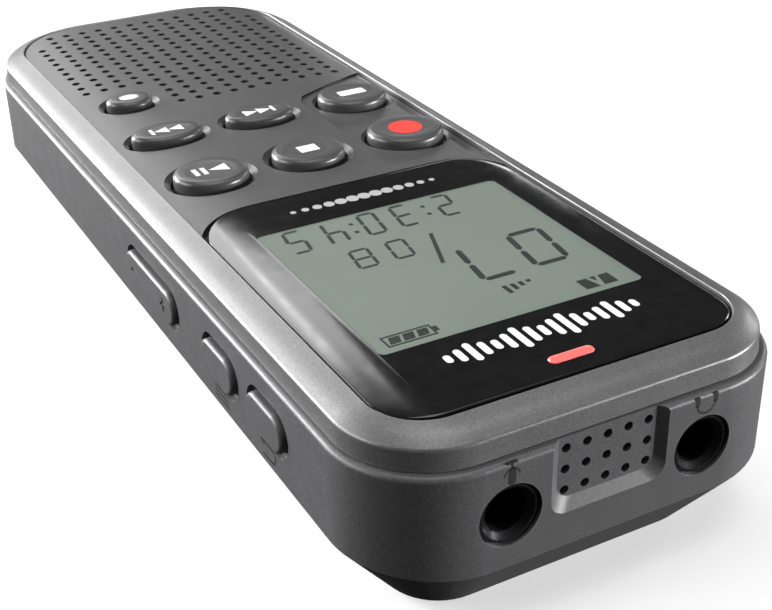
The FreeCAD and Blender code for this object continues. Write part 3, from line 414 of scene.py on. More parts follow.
def metal(name, colour, rough):
    """Plated or brushed metal: fine drawn lines and dull patches."""
    material, tree = nodes_of(name)
    shader = tree.nodes["Principled BSDF"]
    coords = tree.nodes.new("ShaderNodeTexCoord").outputs["Object"]
    stretch = tree.nodes.new("ShaderNodeMapping")
    stretch.inputs["Scale"].default_value = DRAWN_OUT
    tree.links.new(coords, stretch.inputs["Vector"])
    lines = noise(tree, stretch.outputs["Vector"], LINES_SCALE, 3.0, 0.6)
    dull = noise(tree, coords, DULL_SCALE, 3.0)
    base = mix_colour(tree, spread(tree, lines, 0.3, 0.7), scaled(colour, 0.85),
                      scaled(colour, 1.1))
    base = mix_colour(tree, spread(tree, dull, 0.45, 0.75, 0.0, 0.4), base, scaled(colour, 0.7))
    bump = tree.nodes.new("ShaderNodeBump")
    bump.inputs["Distance"].default_value = LINES_DEPTH
    tree.links.new(lines, bump.inputs["Height"])
    tree.links.new(bump.outputs["Normal"], shader.inputs["Normal"])
    tree.links.new(base, shader.inputs["Base Color"])
    tree.links.new(spread(tree, dull, 0.3, 0.75, rough, rough + 0.15),
                   shader.inputs["Roughness"])
    shader.inputs["Metallic"].default_value = 1.0
    return material


def display_face():
    """Reflective liquid crystal: grey-green, a faint reflector grain, clear glass over it."""
    material, tree = nodes_of("lcd_face")
    shader = tree.nodes["Principled BSDF"]
    coords = tree.nodes.new("ShaderNodeTexCoord").outputs["Object"]
    fine = noise(tree, coords, LCD_GRAIN_SCALE, 2.0)
    cloud = noise(tree, coords, LCD_CLOUD_SCALE, 2.0)
    base = mix_colour(tree, spread(tree, fine, 0.35, 0.65), LCD_GREEN, scaled(LCD_GREEN, 1.06))
    base = mix_colour(tree, spread(tree, cloud, 0.35, 0.7, 0.0, 0.6), base,
                      scaled(LCD_GREEN, 0.92))
    tree.links.new(base, shader.inputs["Base Color"])
    tree.links.new(spread(tree, fine, 0.3, 0.7, 0.40, 0.48), shader.inputs["Roughness"])
    shader.inputs["Specular IOR Level"].default_value = 0.2
    shader.inputs["Coat Weight"].default_value = 0.9
    shader.inputs["Coat Roughness"].default_value = 0.05
    return material


MATERIALS = {
    "case": moulded("case", (0.085, 0.085, 0.088), 0.46, grain_depth=9e-6, speckle=0.30,
                    wear=0.35),
    "rim": moulded("rim", (0.150, 0.150, 0.152), 0.40, grain_depth=7e-6, speckle=0.25,
                   metallic=0.35, wear=0.4),
    "panel": moulded("panel", (0.062, 0.062, 0.064), 0.36, grain=4000.0, grain_depth=2e-6,
                     speckle=0.08, wear=0.25, smears=0.02),
    "key": moulded("key", (0.062, 0.062, 0.064), 0.33, grain=3500.0, grain_depth=1.0e-6,
                   speckle=0.06, wear=0.15, smears=0.012),
    "lens": moulded("lens", (0.010, 0.010, 0.0105), 0.13, grain=700.0, grain_depth=2e-7,
                    speckle=0.2),
    "lcd": display_face(),
    "segment": moulded("segment", (0.012, 0.020, 0.015), 0.45, speckle=0.15, coat=0.9,
                       coat_rough=0.05, grain_depth=1e-7),
    "white_print": moulded("white_print", (0.86, 0.86, 0.86), 0.42, speckle=0.05,
                           grain_depth=2e-6),
    "grey_print": moulded("grey_print", (0.42, 0.42, 0.42), 0.45, speckle=0.08,
                          grain_depth=2e-6),
    "record_red": moulded("record_red", (0.80, 0.035, 0.02), 0.38, speckle=0.06,
                          grain_depth=2e-6),
    "lamp": lit("lamp", (0.85, 0.16, 0.15), 0.18, (1.0, 0.10, 0.09), 0.55),
    "dark_print": moulded("dark_print", (0.016, 0.016, 0.017), 0.5, speckle=0.1,
                          grain_depth=2e-6),
    "holder": moulded("holder", (0.75, 0.75, 0.73), 0.5, speckle=0.04),
    "rubber": moulded("rubber", (0.03, 0.03, 0.03), 0.7, grain=2500.0, grain_depth=8e-6),
    "mat": moulded("mat", (0.35, 0.36, 0.37), 0.62, grain=2500.0, grain_depth=6e-6,
                   speckle=0.06),
    "jack": moulded("jack", (0.010, 0.010, 0.011), 0.24, grain=3000.0, grain_depth=1.5e-6,
                    speckle=0.15, wear=0.5),
    "board": moulded("board", (0.012, 0.13, 0.06), 0.32, grain=1800.0, speckle=0.2, coat=0.4),
    "chip": moulded("chip", (0.018, 0.018, 0.018), 0.5, grain=5000.0, grain_depth=5e-6),
    "steel": metal("steel", (0.62, 0.62, 0.62), 0.24),
    "dome": metal("dome", (0.70, 0.70, 0.70), 0.20),
    "gold": metal("gold", (0.82, 0.60, 0.26), 0.2),
    "magnet": metal("magnet", (0.30, 0.30, 0.31), 0.35),
    "cone": moulded("cone", (0.03, 0.03, 0.034), 0.38, grain=1500.0),
    "mesh": moulded("mesh", (0.012, 0.012, 0.012), 0.85, grain=9000.0, grain_depth=3e-5,
                    speckle=0.5),
    "foam": moulded("foam", (0.05, 0.05, 0.05), 0.9, grain=4000.0, grain_depth=4e-5,
                    speckle=0.4),
    "cell": metal("cell", (0.10, 0.28, 0.50), 0.3),
    "screw": metal("screw", (0.16, 0.16, 0.17), 0.34),
}


# ---------------------------------------------------------------- CAD nodes that stay
def dress_cad_nodes():
    """Clean the tessellation, round the edges a little and give each node its material."""
    slot_of = {row["node"]: row["material_slot"] for row in frame["record"]["subparts"]}
    for name, thing in frame["nodes"].items():
        thing.data.materials.clear()
        thing.data.materials.append(MATERIALS[slot_of[name]])
        for face in thing.data.polygons:
            face.use_smooth = True
        flat = thing.modifiers.new("flat", "DECIMATE")
        flat.decimate_type = "DISSOLVE"
        flat.angle_limit = radians(1.0)
        soften_edges(thing)
        thing.modifiers.new("weigh", "WEIGHTED_NORMAL")


# ---------------------------------------------------------------- upper shell
# Rings round the rim's section: distance in from the sides and from the near end of the case,
# far edge, near and far corner radii, height, and how much that corner of the section is rounded.
RIM_SECTION = [
    (1.6, 1.6, HALF_L - 1.6, 6.6, 13.0, LEDGE_Z - 0.95, 0.1),        # skirt inside the case
    (1.6, 1.6, HALF_L - 1.6, 6.6, 13.0, LEDGE_Z, 0),
    (0.55, 0.75, 53.25, 7.65, 13.3, LEDGE_Z, 0.12),                  # foot of the wall on the ledge
    (0.67, 0.87, 53.1, 7.53, 13.2, TOP - 1.12, 0.4),
    (1.7, 1.9, 51.4, 6.5, 11.5, TOP - 0.42, 3.0),                    # shoulder
    (HALF_W - CREST_HALF_W, HALF_L + CREST_NEAR, CREST_FAR, 4.5, 8.5, TOP, 0.1),
    (HALF_W - CREST_HALF_W, HALF_L + CREST_NEAR, CREST_FAR, 4.5, 8.5, TOP - 1.8, 0),
    (3.4, 3.75, 48.9, 4.4, 8.4, TOP - 2.0, 0),
    (2.5, 2.5, HALF_L - 2.5, 5.7, 12.1, TOP - 2.0, 0.2),
    (2.5, 2.5, HALF_L - 2.5, 5.7, 12.1, LEDGE_Z - 0.95, 0.1),
]

DECK_REACH = 0.3                         # under the rim
DECK_CORNERS = (4.8, 8.8)
DECK_DOWN = (1.95, 1.16)                 # its under and upper face below the crest
CUT_Z = (15, 19)                         # below and above the deck
GLASS_ROOM = (0.2, 0.3)
KEY_WINDOW = (-15.0, -9.4, 15.6, 14.6)
INDEX_WINDOW = (-15.0, 14.3, -6.2, 22.6)
SPEAKER_SLOTS = 5
SPEAKER_SLOT_PITCH = 4.4
SPEAKER_SLOT_HALF = (8.5, 1.0)


def build_rim():
    """Rounded frame round the lens and the panel, with its shoulder, inner wall and skirt."""
    rings = [ring(HALF_W - side, -HALF_L + near, far, r_near, r_far, z)
             for side, near, far, r_near, r_far, z, rounding in RIM_SECTION]
    radii = [row[-1] for row in RIM_SECTION]
    rings = rounded_rings(rings, radii, steps=8, closed=True)
    return piece("rim", loft(rings, closed=True), MATERIALS["rim"],
                 replaces=["top_shell"])


def opening(x0, y0, x1, y1):
    """Cutter through the deck."""
    return block((x0, y0, CUT_Z[0]), (x1, y1, CUT_Z[1]))


def build_deck():
    """Floor of the openings under the panel and the lens."""
    rings = [ring(CREST_HALF_W + DECK_REACH, CREST_NEAR - DECK_REACH, CREST_FAR + DECK_REACH,
                  *DECK_CORNERS, TOP - down) for down in DECK_DOWN]
    room_x, room_y = GLASS_ROOM
    windows = [
        opening(glass_low.x - room_x, glass_low.y - room_y, glass_high.x + room_x,
                glass_high.y + room_y),
        opening(*KEY_WINDOW),
        opening(*INDEX_WINDOW),
    ]
    speaker_low, speaker_high = box_mm("speaker_basket")
    middle = (speaker_low.y + speaker_high.y) / 2
    half_x, half_y = SPEAKER_SLOT_HALF
    for slot in range(SPEAKER_SLOTS):
        y = middle + (slot - SPEAKER_SLOTS // 2) * SPEAKER_SLOT_PITCH
        windows.append(opening(-half_x, y - half_y, half_x, y + half_y))
    return piece("deck", loft(rings), MATERIALS["rim"], cutters=windows)


# ---------------------------------------------------------------- lens and display
CROWN = 0.12             # lens middle above the shell's crest
LENS_SIDE = (4.5, 0.42)  # width over which its long sides curve down, and how far
PANEL_SIDE = (7.0, 0.35)
LENS_CORNERS = (4.3, 5.3)
LENS_UNDER = 0.1         # its wall starts this far above the CAD lens's underside
LENS_WALL_DOWN = 0.62    # top of the straight wall below the crest
# Rings from the wall to the flat middle: distance in from the outline, and drop at the edge.
LENS_RINGS = [(0.04, 0.09), (0.09, 0.04), (0.16, 0.01), (0.3, 0), (1.0, 0), (1.6, 0), (2.2, 0),
              (2.8, 0), (3.3, 0), (3.55, 0)]
PANEL_STRIPS = 8         # across each curved side
PANEL_TOP = 0.4          # what lies higher than this above its underside curves down
WINDOW = (12.15, -41.5, -18.4)           # half width, near edge and far edge
WINDOW_CORNER = 0.6
WINDOW_DEPTH = 0.12
FACE_DEPTH = 0.05        # face of the display below the lens's middle
FACE_REACH = 0.05        # past the window


def side_drop(x, side):
    """How far a top surface has curved down at x."""
    width, depth = side
    over = max(0.0, abs(x) - (lens_high.x - width)) / width
    return depth * over * over


def build_lens():
    """Black lens whose long sides curve down, with the window of the display."""
    half_w, near, far = lens_high.x, lens_low.y, lens_high.y
    r_near, r_far = LENS_CORNERS
    rings = [ring(half_w, near, far, r_near, r_far, z)
             for z in (lens_low.z + LENS_UNDER, TOP - LENS_WALL_DOWN)]
    for inset, drop in LENS_RINGS:
        points = ring(half_w - inset, near + inset, far - inset, r_near - inset, r_far - inset, 0)
        for point in points:
            point.z = TOP + CROWN - side_drop(point.x, LENS_SIDE) - drop
        rings.append(points)
    for z in (TOP + CROWN, TOP + CROWN - WINDOW_DEPTH):
        rings.append(ring(*WINDOW, WINDOW_CORNER, WINDOW_CORNER, z))
    return piece("lens", loft(rings, cap_last=False), MATERIALS["lens"],
                 replaces=["display_lens"])


def build_panel():
    """Keypad panel whose long sides curve down like the lens."""
    mesh = bmesh.new()
    mesh.from_mesh(frame["nodes"]["keypad_panel"].data)
    bmesh.ops.remove_doubles(mesh, verts=mesh.verts, dist=1e-6)
    bmesh.ops.dissolve_limit(mesh, angle_limit=radians(1.0), verts=mesh.verts,
                             edges=mesh.edges)
    width = PANEL_SIDE[0]
    for side in (-1, 1):
        for strip in range(PANEL_STRIPS):
            x = side * (lens_high.x - width + width * strip / PANEL_STRIPS)
            everything = list(mesh.verts) + list(mesh.edges) + list(mesh.faces)
            bmesh.ops.bisect_plane(mesh, geom=everything, plane_co=(x * MM, 0, 0),
                                   plane_no=(1, 0, 0))
    for vert in mesh.verts:
        if vert.co.z > (panel_low.z + PANEL_TOP) * MM:
            vert.co.z -= side_drop(vert.co.x / MM, PANEL_SIDE) * MM
    panel = piece("panel", mesh, MATERIALS["panel"], replaces=["keypad_panel"])
    soften_edges(panel)
    return panel


def build_lcd_face():
    """Grey-green face of the display, just under the lens surface."""
    half_window, near, far = WINDOW
    rings = [ring(half_window + FACE_REACH, near - FACE_REACH, far + FACE_REACH, WINDOW_CORNER,
                  WINDOW_CORNER, z) for z in (glass_high.z, TOP + CROWN - FACE_DEPTH)]
    return piece("lcd_face", loft(rings), MATERIALS["lcd"])


# ---------------------------------------------------------------- display segments
def on_display(x, y):
    """Place outlines on the display: u runs towards -X and v towards -Y from (x, y)."""
    top = TOP + CROWN - FACE_DEPTH

    def place(u, v, height):
        return Vector((x - u, y - v, top + height))
    return place


SEGMENTS = {"0": "abcdef", "1": "bc", "2": "abged", "3": "abgcd", "4": "fgbc", "5": "afgcd",
            "7": "abc", "8": "abcdefg"}
SLANT = 0.14             # sideways per millimetre of height
SEGMENT_GAP = 0.16       # between the bars of a digit, as a part of their thickness
COLON_DOT = 0.55         # half size of its dots, as a part of the same
COLON_HEIGHTS = (0.33, 0.70)     # as parts of the digits' height


def bar(u0, v0, u1, v1, thick):
    """Six-cornered bar between two points that lie level or upright."""
    half = thick / 2
    if v0 == v1:
        return [(u0, v0), (u0 + half, v0 - half), (u1 - half, v0 - half), (u1, v0),
                (u1 - half, v0 + half), (u0 + half, v0 + half)]
    return [(u0, v0), (u0 + half, v0 + half), (u0 + half, v1 - half), (u0, v1),
            (u0 - half, v1 - half), (u0 - half, v0 + half)]


def digit_bars(digit, width, height, thick):
    """Bars of one seven-segment digit, slanted."""
    gap = thick * SEGMENT_GAP
    right = width - thick / 2
    left = thick / 2
    low, middle, high = thick / 2, height / 2, height - thick / 2
    spots = {
        "a": (left + gap, high, right - gap, high),
        "g": (left + gap, middle, right - gap, middle),
        "d": (left + gap, low, right - gap, low),
        "f": (left, middle + gap, left, high - gap),
        "b": (right, middle + gap, right, high - gap),
        "e": (left, low + gap, left, middle - gap),
        "c": (right, low + gap, right, middle - gap),
    }
    bars = []
    for name in SEGMENTS[digit]:
        outline = bar(*spots[name], thick)
        bars.append([(u + v * SLANT, v) for u, v in outline])
    return bars


INK = (0.0, 0.012)       # bottom and top of the display's segments above its face
SLASH_AT = (1.65, -25.4)
BATTERY_AT = (-6.3, -39.1)
BATTERY_CELLS = 3
SOURCE_AT = (10.2, -39.1)
QUALITY_AT = (4.1, -36.8)
QUALITY_BARS = 4


def build_number(name, characters, y, width, height, thick):
    """Digits and colons, each with the x at which it starts; reading runs towards -X."""
    mesh = bmesh.new()
    for character, x in characters:
        place = on_display(x, y)
        if character == ":":
            dot = thick * COLON_DOT
            for part in COLON_HEIGHTS:
                v = height * part
                u = v * SLANT
                prism(rectangle(u - dot, v - dot, u + dot, v + dot), place, *INK, mesh=mesh)
            continue
        for outline in digit_bars(character, width, height, thick):
            prism(outline, place, *INK, mesh=mesh)
    return piece(name, mesh, MATERIALS["segment"], smooth=False)


# Name, characters with the x at which each starts, y, width, height and thickness.
DISPLAY_NUMBERS = [
    ("time_digits", [("2", 6.8), (":", 3.8), ("3", 2.5), ("0", -0.8), (":", -3.5), ("4", -4.4),
                     ("5", -8.1)], -18.8, 1.9, 4.4, 0.36),
    ("track_count", [("0", -1.05), ("8", -4.55)], -24.9, 2.0, 3.5, 0.32),
    ("track_number", [("0", 10.3), ("7", 5.2)], -28.95, 3.7, 6.45, 0.58),
]


def build_slash():
    outline = [(0, 0), (0.4, 0), (2.3, 5.4), (1.9, 5.4)]
    mesh = prism(outline, on_display(*SLASH_AT), *INK)
    return piece("track_slash", mesh, MATERIALS["segment"], smooth=False)


def frame_outline(mesh, place, u0, v0, u1, v1, line):
    """Rectangle drawn as four thin bars."""
    for outline in (
        [(u0, v0), (u1, v0), (u1, v0 + line), (u0, v0 + line)],
        [(u0, v1 - line), (u1, v1 - line), (u1, v1), (u0, v1)],
        [(u0, v0 + line), (u0 + line, v0 + line), (u0 + line, v1 - line), (u0, v1 - line)],
        [(u1 - line, v0 + line), (u1, v0 + line), (u1, v1 - line), (u1 - line, v1 - line)],
    ):
        prism(outline, place, *INK, mesh=mesh)


def build_battery_icon():
    mesh = bmesh.new()
    place = on_display(*BATTERY_AT)
    frame_outline(mesh, place, 0.4, 0, 4.7, 1.6, 0.17)
    prism(rectangle(0, 0.45, 0.4, 1.15), place, *INK, mesh=mesh)
    for step in range(BATTERY_CELLS):
        u = 0.72 + step * 1.22
        prism([(u, 0.32), (u + 0.95, 0.32), (u + 1.22, 1.28), (u + 0.27, 1.28)], place, *INK,
              mesh=mesh)
    return piece("battery_icon", mesh, MATERIALS["segment"], smooth=False)


def build_source_icon():
    """Two dark blocks with a wedge between them, the sound source on the display."""
    mesh = bmesh.new()
    place = on_display(*SOURCE_AT)
    prism([(0, 0), (0.95, 0), (1.35, 1.6), (0, 1.6)], place, *INK, mesh=mesh)
    prism([(2.15, 0), (3.1, 0), (3.1, 1.6), (1.75, 1.6)], place, *INK, mesh=mesh)
    prism([(1.25, 0), (1.85, 0), (1.55, 0.75)], place, *INK, mesh=mesh)
    return piece("source_icon", mesh, MATERIALS["segment"], smooth=False)


def build_quality_icon():
    """Rising bars between the icons and the track number."""
    mesh = bmesh.new()
    place = on_display(*QUALITY_AT)
    for step in range(QUALITY_BARS):
        u = step * 0.75
        prism(rectangle(u, 0, u + 0.42, 0.4 + 0.3 * step), place, *INK, mesh=mesh)
    return piece("quality_icon", mesh, MATERIALS["segment"], smooth=False)


# ---------------------------------------------------------------- marks on the lens
def on_lens(x, y):
    def place(u, v, height):
        return Vector((x - u, y - v, TOP + CROWN + height))
    return place


PRINT = (-0.05, 0.015)   # bottom and top of printed marks above the lens
WAVE_AT = (8.9, -44.4)
WAVE_HEIGHTS = [0.8, 1.5, 2.5, 1.7, 1.0, 1.8, 3.0, 2.2, 1.3, 2.0, 2.9, 1.9, 1.1, 1.6, 2.4, 1.5,
                0.8]
WAVE_PITCH = 1.06
WAVE_BAR = (0.30, 0.15)  # half width of a bar, and how far it stands past its height at each end
DOTS_AT = (7.3, -15.5)
DOTS = 13
DOT_PITCH = 1.2
DOT_R = (0.28, 0.34)     # smallest radius, and growth in the middle
LAMP_ROUND = (0.22, 0.16)        # inset and rise of the dome's edge
LAMP_DOWN = 0.02
LAMP_TOP = (0.38, 0.15)  # inset and height of its top


def round_bar(u, v, half_u, half_v, steps=8):
    """Outline of an upright bar with round ends."""
    points = []
    for sign, start in ((1, 0), (-1, 180)):
        for step in range(steps + 1):
            angle = radians(start + 180 * step / steps)
            points.append((u + half_u * cos(angle), v + sign * (half_v - half_u)
                           + half_u * sin(angle)))
    return points


def build_wave_mark():
    """White sound-wave mark below the display."""
    mesh = bmesh.new()
    place = on_lens(*WAVE_AT)
    half_width, past = WAVE_BAR
    for index, height in enumerate(WAVE_HEIGHTS):
        prism(round_bar(index * WAVE_PITCH, 0, half_width, height / 2 + past), place, *PRINT,
              mesh=mesh)
    return piece("wave_mark", mesh, MATERIALS["white_print"], smooth=False)


def build_dot_mark():
    """Row of dots above the display that swells in the middle."""
    mesh = bmesh.new()
    place = on_lens(*DOTS_AT)
    smallest, growth = DOT_R
    for index in range(DOTS):
        radius = smallest + growth * sin(pi * index / (DOTS - 1))
        outline = [(index * DOT_PITCH + u, v) for u, v in disc(radius, 20)]
        prism(outline, place, *PRINT, mesh=mesh)
    return piece("dot_mark", mesh, MATERIALS["grey_print"], smooth=False)


def build_lamp():
    """Domed pill of the light pipe."""
    x = (lamp_low.x + lamp_high.x) / 2
    y = (lamp_low.y + lamp_high.y) / 2
    half_x = (lamp_high.x - lamp_low.x) / 2
    half_y = (lamp_high.y - lamp_low.y) / 2
    rings = [pill_ring(x, y, half_x, half_y, lamp_low.z)]
    steps = 6
    for step in range(steps + 1):
        angle = radians(90 * step / steps)
        inset = LAMP_ROUND[0] * (1 - cos(angle))
        z = TOP + CROWN - LAMP_DOWN + LAMP_ROUND[1] * sin(angle)
        rings.append(pill_ring(x, y, half_x - inset, half_y - inset, z))
    inset, height = LAMP_TOP
    rings.append(pill_ring(x, y, half_x - inset, half_y - inset, TOP + CROWN + height))
    return piece("lamp", loft(rings), MATERIALS["lamp"],
                 replaces=["lamp_light_pipe"])


# ---------------------------------------------------------------- keys
KEY_LIP = 1.15           # from the key's wall to the start of its middle
KEY_SINK = 0.03          # middle of the key below its lip
KEY_SINK_IN = 0.5        # width of the slope between them
KEY_MIDDLE = (0.4, 0.3)  # half axes of the innermost ring
KEY_STEM_R = 1.2
FLANGE = 0.4             # past the key's wall
FLANGE_Z = (16.2, 16.7)


def key_size(node):
    """Centre and half axes of a key's cap, inside the flange that CAD gives it."""
    low, high = box_mm(node)
    x = (low.x + high.x) / 2
    y = (low.y + high.y) / 2
    return x, y, (high.x - low.x) / 2 - FLANGE, (high.y - low.y) / 2 - FLANGE


def build_key(node):
    """Oval cap: straight wall, soft rounded lip and a faintly sunk top."""
    x, y, half_x, half_y = key_size(node)
    low, high = (corner.z for corner in box_mm(node))
    # Growth past the key's wall, height, and rounding of that corner of the section.
    section = [
        (FLANGE, FLANGE_Z[0], 0.05),
        (FLANGE, FLANGE_Z[1], 0.05),
        (0, FLANGE_Z[1], 0),
        (0, high, 0.95),
        (-KEY_LIP, high, 0.18),
        (-KEY_LIP - KEY_SINK_IN, high - KEY_SINK, 0.3),
    ]
    rings = [oval_ring(x, y, KEY_STEM_R, KEY_STEM_R, z) for z in (low, FLANGE_Z[0])]
    rings += [oval_ring(x, y, half_x + growth, half_y + growth, z)
              for growth, z, rounding in section]
    rings.append(oval_ring(x, y, *KEY_MIDDLE, high - KEY_SINK))
    radii = [0, 0] + [rounding for growth, z, rounding in section] + [0]
    rings = rounded_rings(rings, radii, steps=7)
    return piece(node + "_cap", loft(rings), MATERIALS["key"], body=node,
                 replaces=[node])


def arrow(u, direction, length, height):
    return [(u, -height / 2), (u + direction * length, 0), (u, height / 2)]


def disc(radius, steps=40):
    return [(radius * cos(2 * pi * step / steps), radius * sin(2 * pi * step / steps))
            for step in range(steps)]


def soft_rectangle(half_u, half_v, radius, steps=6):
    points = []
    for su, sv, start in ((1, 1, 0), (-1, 1, 90), (-1, -1, 180), (1, -1, 270)):
        for step in range(steps + 1):
            angle = radians(start + 90 * step / steps)
            points.append((su * (half_u - radius) + radius * cos(angle),
                           sv * (half_v - radius) + radius * sin(angle)))
    return points


KEY_SYMBOLS = {
    "play_pause_key": [arrow(-1.7, 1, 1.9, 1.7), rectangle(0.45, -0.8, 0.9, 0.8),
                       rectangle(1.3, -0.8, 1.75, 0.8)],
    "stop_key": [rectangle(-1.0, -0.78, 1.0, 0.78)],
    "record_key": [disc(1.75)],
    "forward_key": [arrow(-1.7, 1, 1.5, 1.5), arrow(-0.15, 1, 1.5, 1.5),
                    rectangle(1.4, -0.75, 1.75, 0.75)],
    "rewind_key": [arrow(1.7, -1, 1.5, 1.5), arrow(0.15, -1, 1.5, 1.5),
                   rectangle(-1.75, -0.75, -1.4, 0.75)],
    "file_key": [soft_rectangle(1.55, 0.72, 0.25)],
    "index_key": [soft_rectangle(1.0, 0.7, 0.2)],
}


KEY_PRINT = (-0.03, 0.015)       # bottom and top of a key's symbol above its middle


def build_key_symbol(node):
    x, y = key_size(node)[:2]
    top = box_mm(node)[1].z - KEY_SINK

    def place(u, v, height):
        return Vector((x - u, y - v, top + height))

    mesh = bmesh.new()
    for outline in KEY_SYMBOLS[node]:
        prism(outline, place, *KEY_PRINT, mesh=mesh)
    print_slot = "record_red" if node == "record_key" else "white_print"
    return piece(node + "_symbol", mesh, MATERIALS[print_slot], body=node,
                 smooth=False)


# ---------------------------------------------------------------- marks on the walls
def arc_band(centre, radius, line, first, last, steps=16):
    """Outline of an arc of a ring, from one angle to another in degrees."""
    outer, inner = [], []
    for step in range(steps + 1):
        angle = radians(first + (last - first) * step / steps)
        outer.append((centre[0] + (radius + line / 2) * cos(angle),
                      centre[1] + (radius + line / 2) * sin(angle)))
        inner.append((centre[0] + (radius - line / 2) * cos(angle),
                      centre[1] + (radius - line / 2) * sin(angle)))
    return outer + list(reversed(inner))


def on_near_wall(x, z):
    """Marks are upside down, so that they read the same way as the display."""
    def place(u, v, height):
        return Vector((x - u, -HALF_L - height, z - v))
    return place


def on_left_wall(y, z):
    def place(u, v, height):
        return Vector((-HALF_W - height, y + u, z + v))
    return place


FLUSH = (-0.2, 0.004)    # inner and outer face of a mark, past the wall
ICON_Z = 14.15           # above the jacks
SIDE_ICON_Z = 8.0        # under the side keys


def build_wall_mark(name, outlines, place):
    mesh = bmesh.new()
    for outline in outlines:
        prism(outline, place, *FLUSH, mesh=mesh)
    return piece(name, mesh, MATERIALS["dark_print"], smooth=False)


def soft_shift(u, v, half_u, half_v):
    """Rectangle with small round corners about (u, v)."""
    return [(u + du, v + dv) for du, dv in soft_rectangle(half_u, half_v, 0.12)]


def build_wall_marks():
    microphone = [
        round_bar(0, 0.35, 0.34, 0.72),
        arc_band((0, 0.25), 0.62, 0.16, 180, 360),
        rectangle(-0.08, -0.75, 0.08, -0.40),
        rectangle(-0.45, -0.90, 0.45, -0.75),
    ]
    headphones = [
        arc_band((0, -0.1), 0.85, 0.18, 0, 180),
        soft_shift(0.85, -0.40, 0.22, 0.42),
        soft_shift(-0.85, -0.40, 0.22, 0.42),
    ]
    lines = [rectangle(-1.5, v, 1.5, v + 0.22) for v in (-0.6, -0.1, 0.4)]
    loop = [arc_band((-0.6, 0), 0.62, 0.2, 90, 270), rectangle(-0.6, 0.52, 0.9, 0.72),
            rectangle(-0.6, -0.72, 1.2, -0.52),
            [(0.9, 0.22), (1.6, 0.62), (0.9, 1.02)]]
    near_wall = [("microphone_icon", microphone, "mic_jack"),
                 ("headphones_icon", headphones, "earphone_jack")]
    for name, outlines, node in near_wall:
        low, high = box_mm(node)
        build_wall_mark(name, outlines, on_near_wall((low.x + high.x) / 2, ICON_Z))
    left_wall = [("menu_icon", lines, "menu_key"), ("repeat_icon", loop, "repeat_key")]
    for name, outlines, node in left_wall:
        low, high = box_mm(node)
        build_wall_mark(name, outlines, on_left_wall((low.y + high.y) / 2, SIDE_ICON_Z))


# ---------------------------------------------------------------- light, floor and camera
CAMERA_EYE = Vector((-51.985, -117.93, 70.15))
CAMERA_AZIMUTH = radians(-27.855)
CAMERA_ELEVATION = radians(28.971)
CAMERA_ROLL = radians(-1.277)
CAMERA_LENS = 63.50
CAMERA_SENSOR = 36
CAMERA_CLIP = 0.005      # metres

FLOOR_HALF = 3000
FLOOR_GLOW = 0.55
ROOM_LIGHT = 0.025
# Name, place, point that it faces, width and height in millimetres, power in watts.
LIGHTS = [
    ("behind", (-85, 520, 330), (0, 20, 10), 420, 260, 1.85),
    ("far_left", (-300, 480, 120), (0, 0, 10), 260, 200, 7.0),
    ("left", (-420, 120, 240), (0, 0, 10), 260, 260, 1.7),
    ("overhead", (40, -60, 610), (0, 0, 0), 480, 420, 2.1),
    ("low_right", (480, -380, 40), (0, -40, 8), 240, 80, 5.8),
    ("right", (560, 120, 150), (0, 0, 12), 160, 120, 0.5),
    ("far_right", (343, 479, 122), (12, -15, 18), 170, 45, 0.12),
    ("behind_right", (135, 450, 345), (-11, -25, 18), 84, 100, 0.12),
]


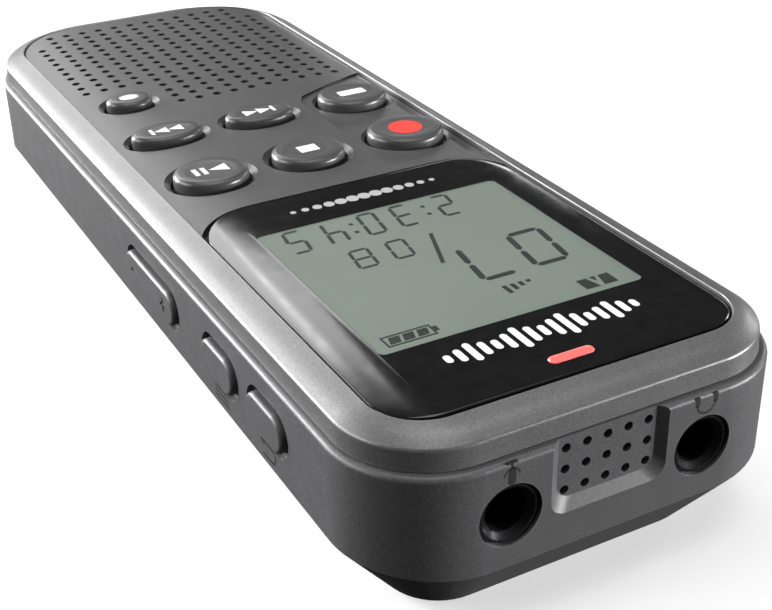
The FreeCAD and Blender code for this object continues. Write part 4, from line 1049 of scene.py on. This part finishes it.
def add_camera():
    back = Vector((sin(CAMERA_AZIMUTH) * cos(CAMERA_ELEVATION),
                   -cos(CAMERA_AZIMUTH) * cos(CAMERA_ELEVATION), sin(CAMERA_ELEVATION)))
    level = Vector((cos(CAMERA_AZIMUTH), sin(CAMERA_AZIMUTH), 0))
    rise = back.cross(level)
    right = level * cos(CAMERA_ROLL) + rise * sin(CAMERA_ROLL)
    up = rise * cos(CAMERA_ROLL) - level * sin(CAMERA_ROLL)
    data = bpy.data.cameras.new("camera")
    data.sensor_fit = "HORIZONTAL"
    data.sensor_width = CAMERA_SENSOR
    data.lens = CAMERA_LENS
    data.clip_start = CAMERA_CLIP
    camera = bpy.data.objects.new("camera", data)
    bpy.context.scene.collection.objects.link(camera)
    turn = Matrix((right, up, back)).transposed().to_4x4()
    camera.matrix_world = Matrix.Translation(CAMERA_EYE * MM) @ turn
    bpy.context.scene.camera = camera


def add_light(name, place, aim, width, height, power):
    """Rectangular soft light at a place in millimetres, turned towards aim."""
    data = bpy.data.lights.new(name, "AREA")
    data.shape = "RECTANGLE"
    data.size = width * MM
    data.size_y = height * MM
    data.energy = power
    light = bpy.data.objects.new(name, data)
    bpy.context.scene.collection.objects.link(light)
    place = Vector(place) * MM
    light.location = place
    light.rotation_euler = (Vector(aim) * MM - place).to_track_quat("-Z", "Y").to_euler()
    return light


def add_floor():
    """Pale floor that shows itself and its shadow but throws no light back on the object."""
    corners = rectangle(-FLOOR_HALF, -FLOOR_HALF, FLOOR_HALF, FLOOR_HALF)
    mesh = bmesh.new()
    mesh.faces.new([mesh.verts.new(Vector((x, y, 0)) * MM) for x, y in corners])
    floor = add_object("floor", mesh)
    material = moulded("floor", (0.55, 0.55, 0.55), 0.8, grain=300.0, grain_depth=1e-5,
                       speckle=0.01, specular=0.1)
    shader = material.node_tree.nodes["Principled BSDF"]
    shader.inputs["Emission Color"].default_value = (1, 1, 1, 1)
    shader.inputs["Emission Strength"].default_value = FLOOR_GLOW
    floor.data.materials.append(material)
    floor.visible_diffuse = False
    floor.visible_glossy = False


def add_world():
    """Dim, even room."""
    world = bpy.data.worlds.new("room")
    bpy.context.scene.world = world
    world.use_nodes = True
    background = world.node_tree.nodes["Background"]
    background.inputs["Color"].default_value = (1, 1, 1, 1)
    background.inputs["Strength"].default_value = ROOM_LIGHT


def add_studio():
    add_world()
    add_floor()
    for light in LIGHTS:
        add_light(*light)
    add_camera()
    bpy.context.scene.view_settings.view_transform = "Standard"


# ---------------------------------------------------------------- build
dress_cad_nodes()
build_rim()
build_deck()
build_lens()
build_panel()
build_lcd_face()
for display_number in DISPLAY_NUMBERS:
    build_number(*display_number)
build_slash()
build_battery_icon()
build_source_icon()
build_quality_icon()
build_wave_mark()
build_dot_mark()
build_lamp()
for key in KEYS:
    build_key(key)
    build_key_symbol(key)
build_wall_marks()
add_studio()
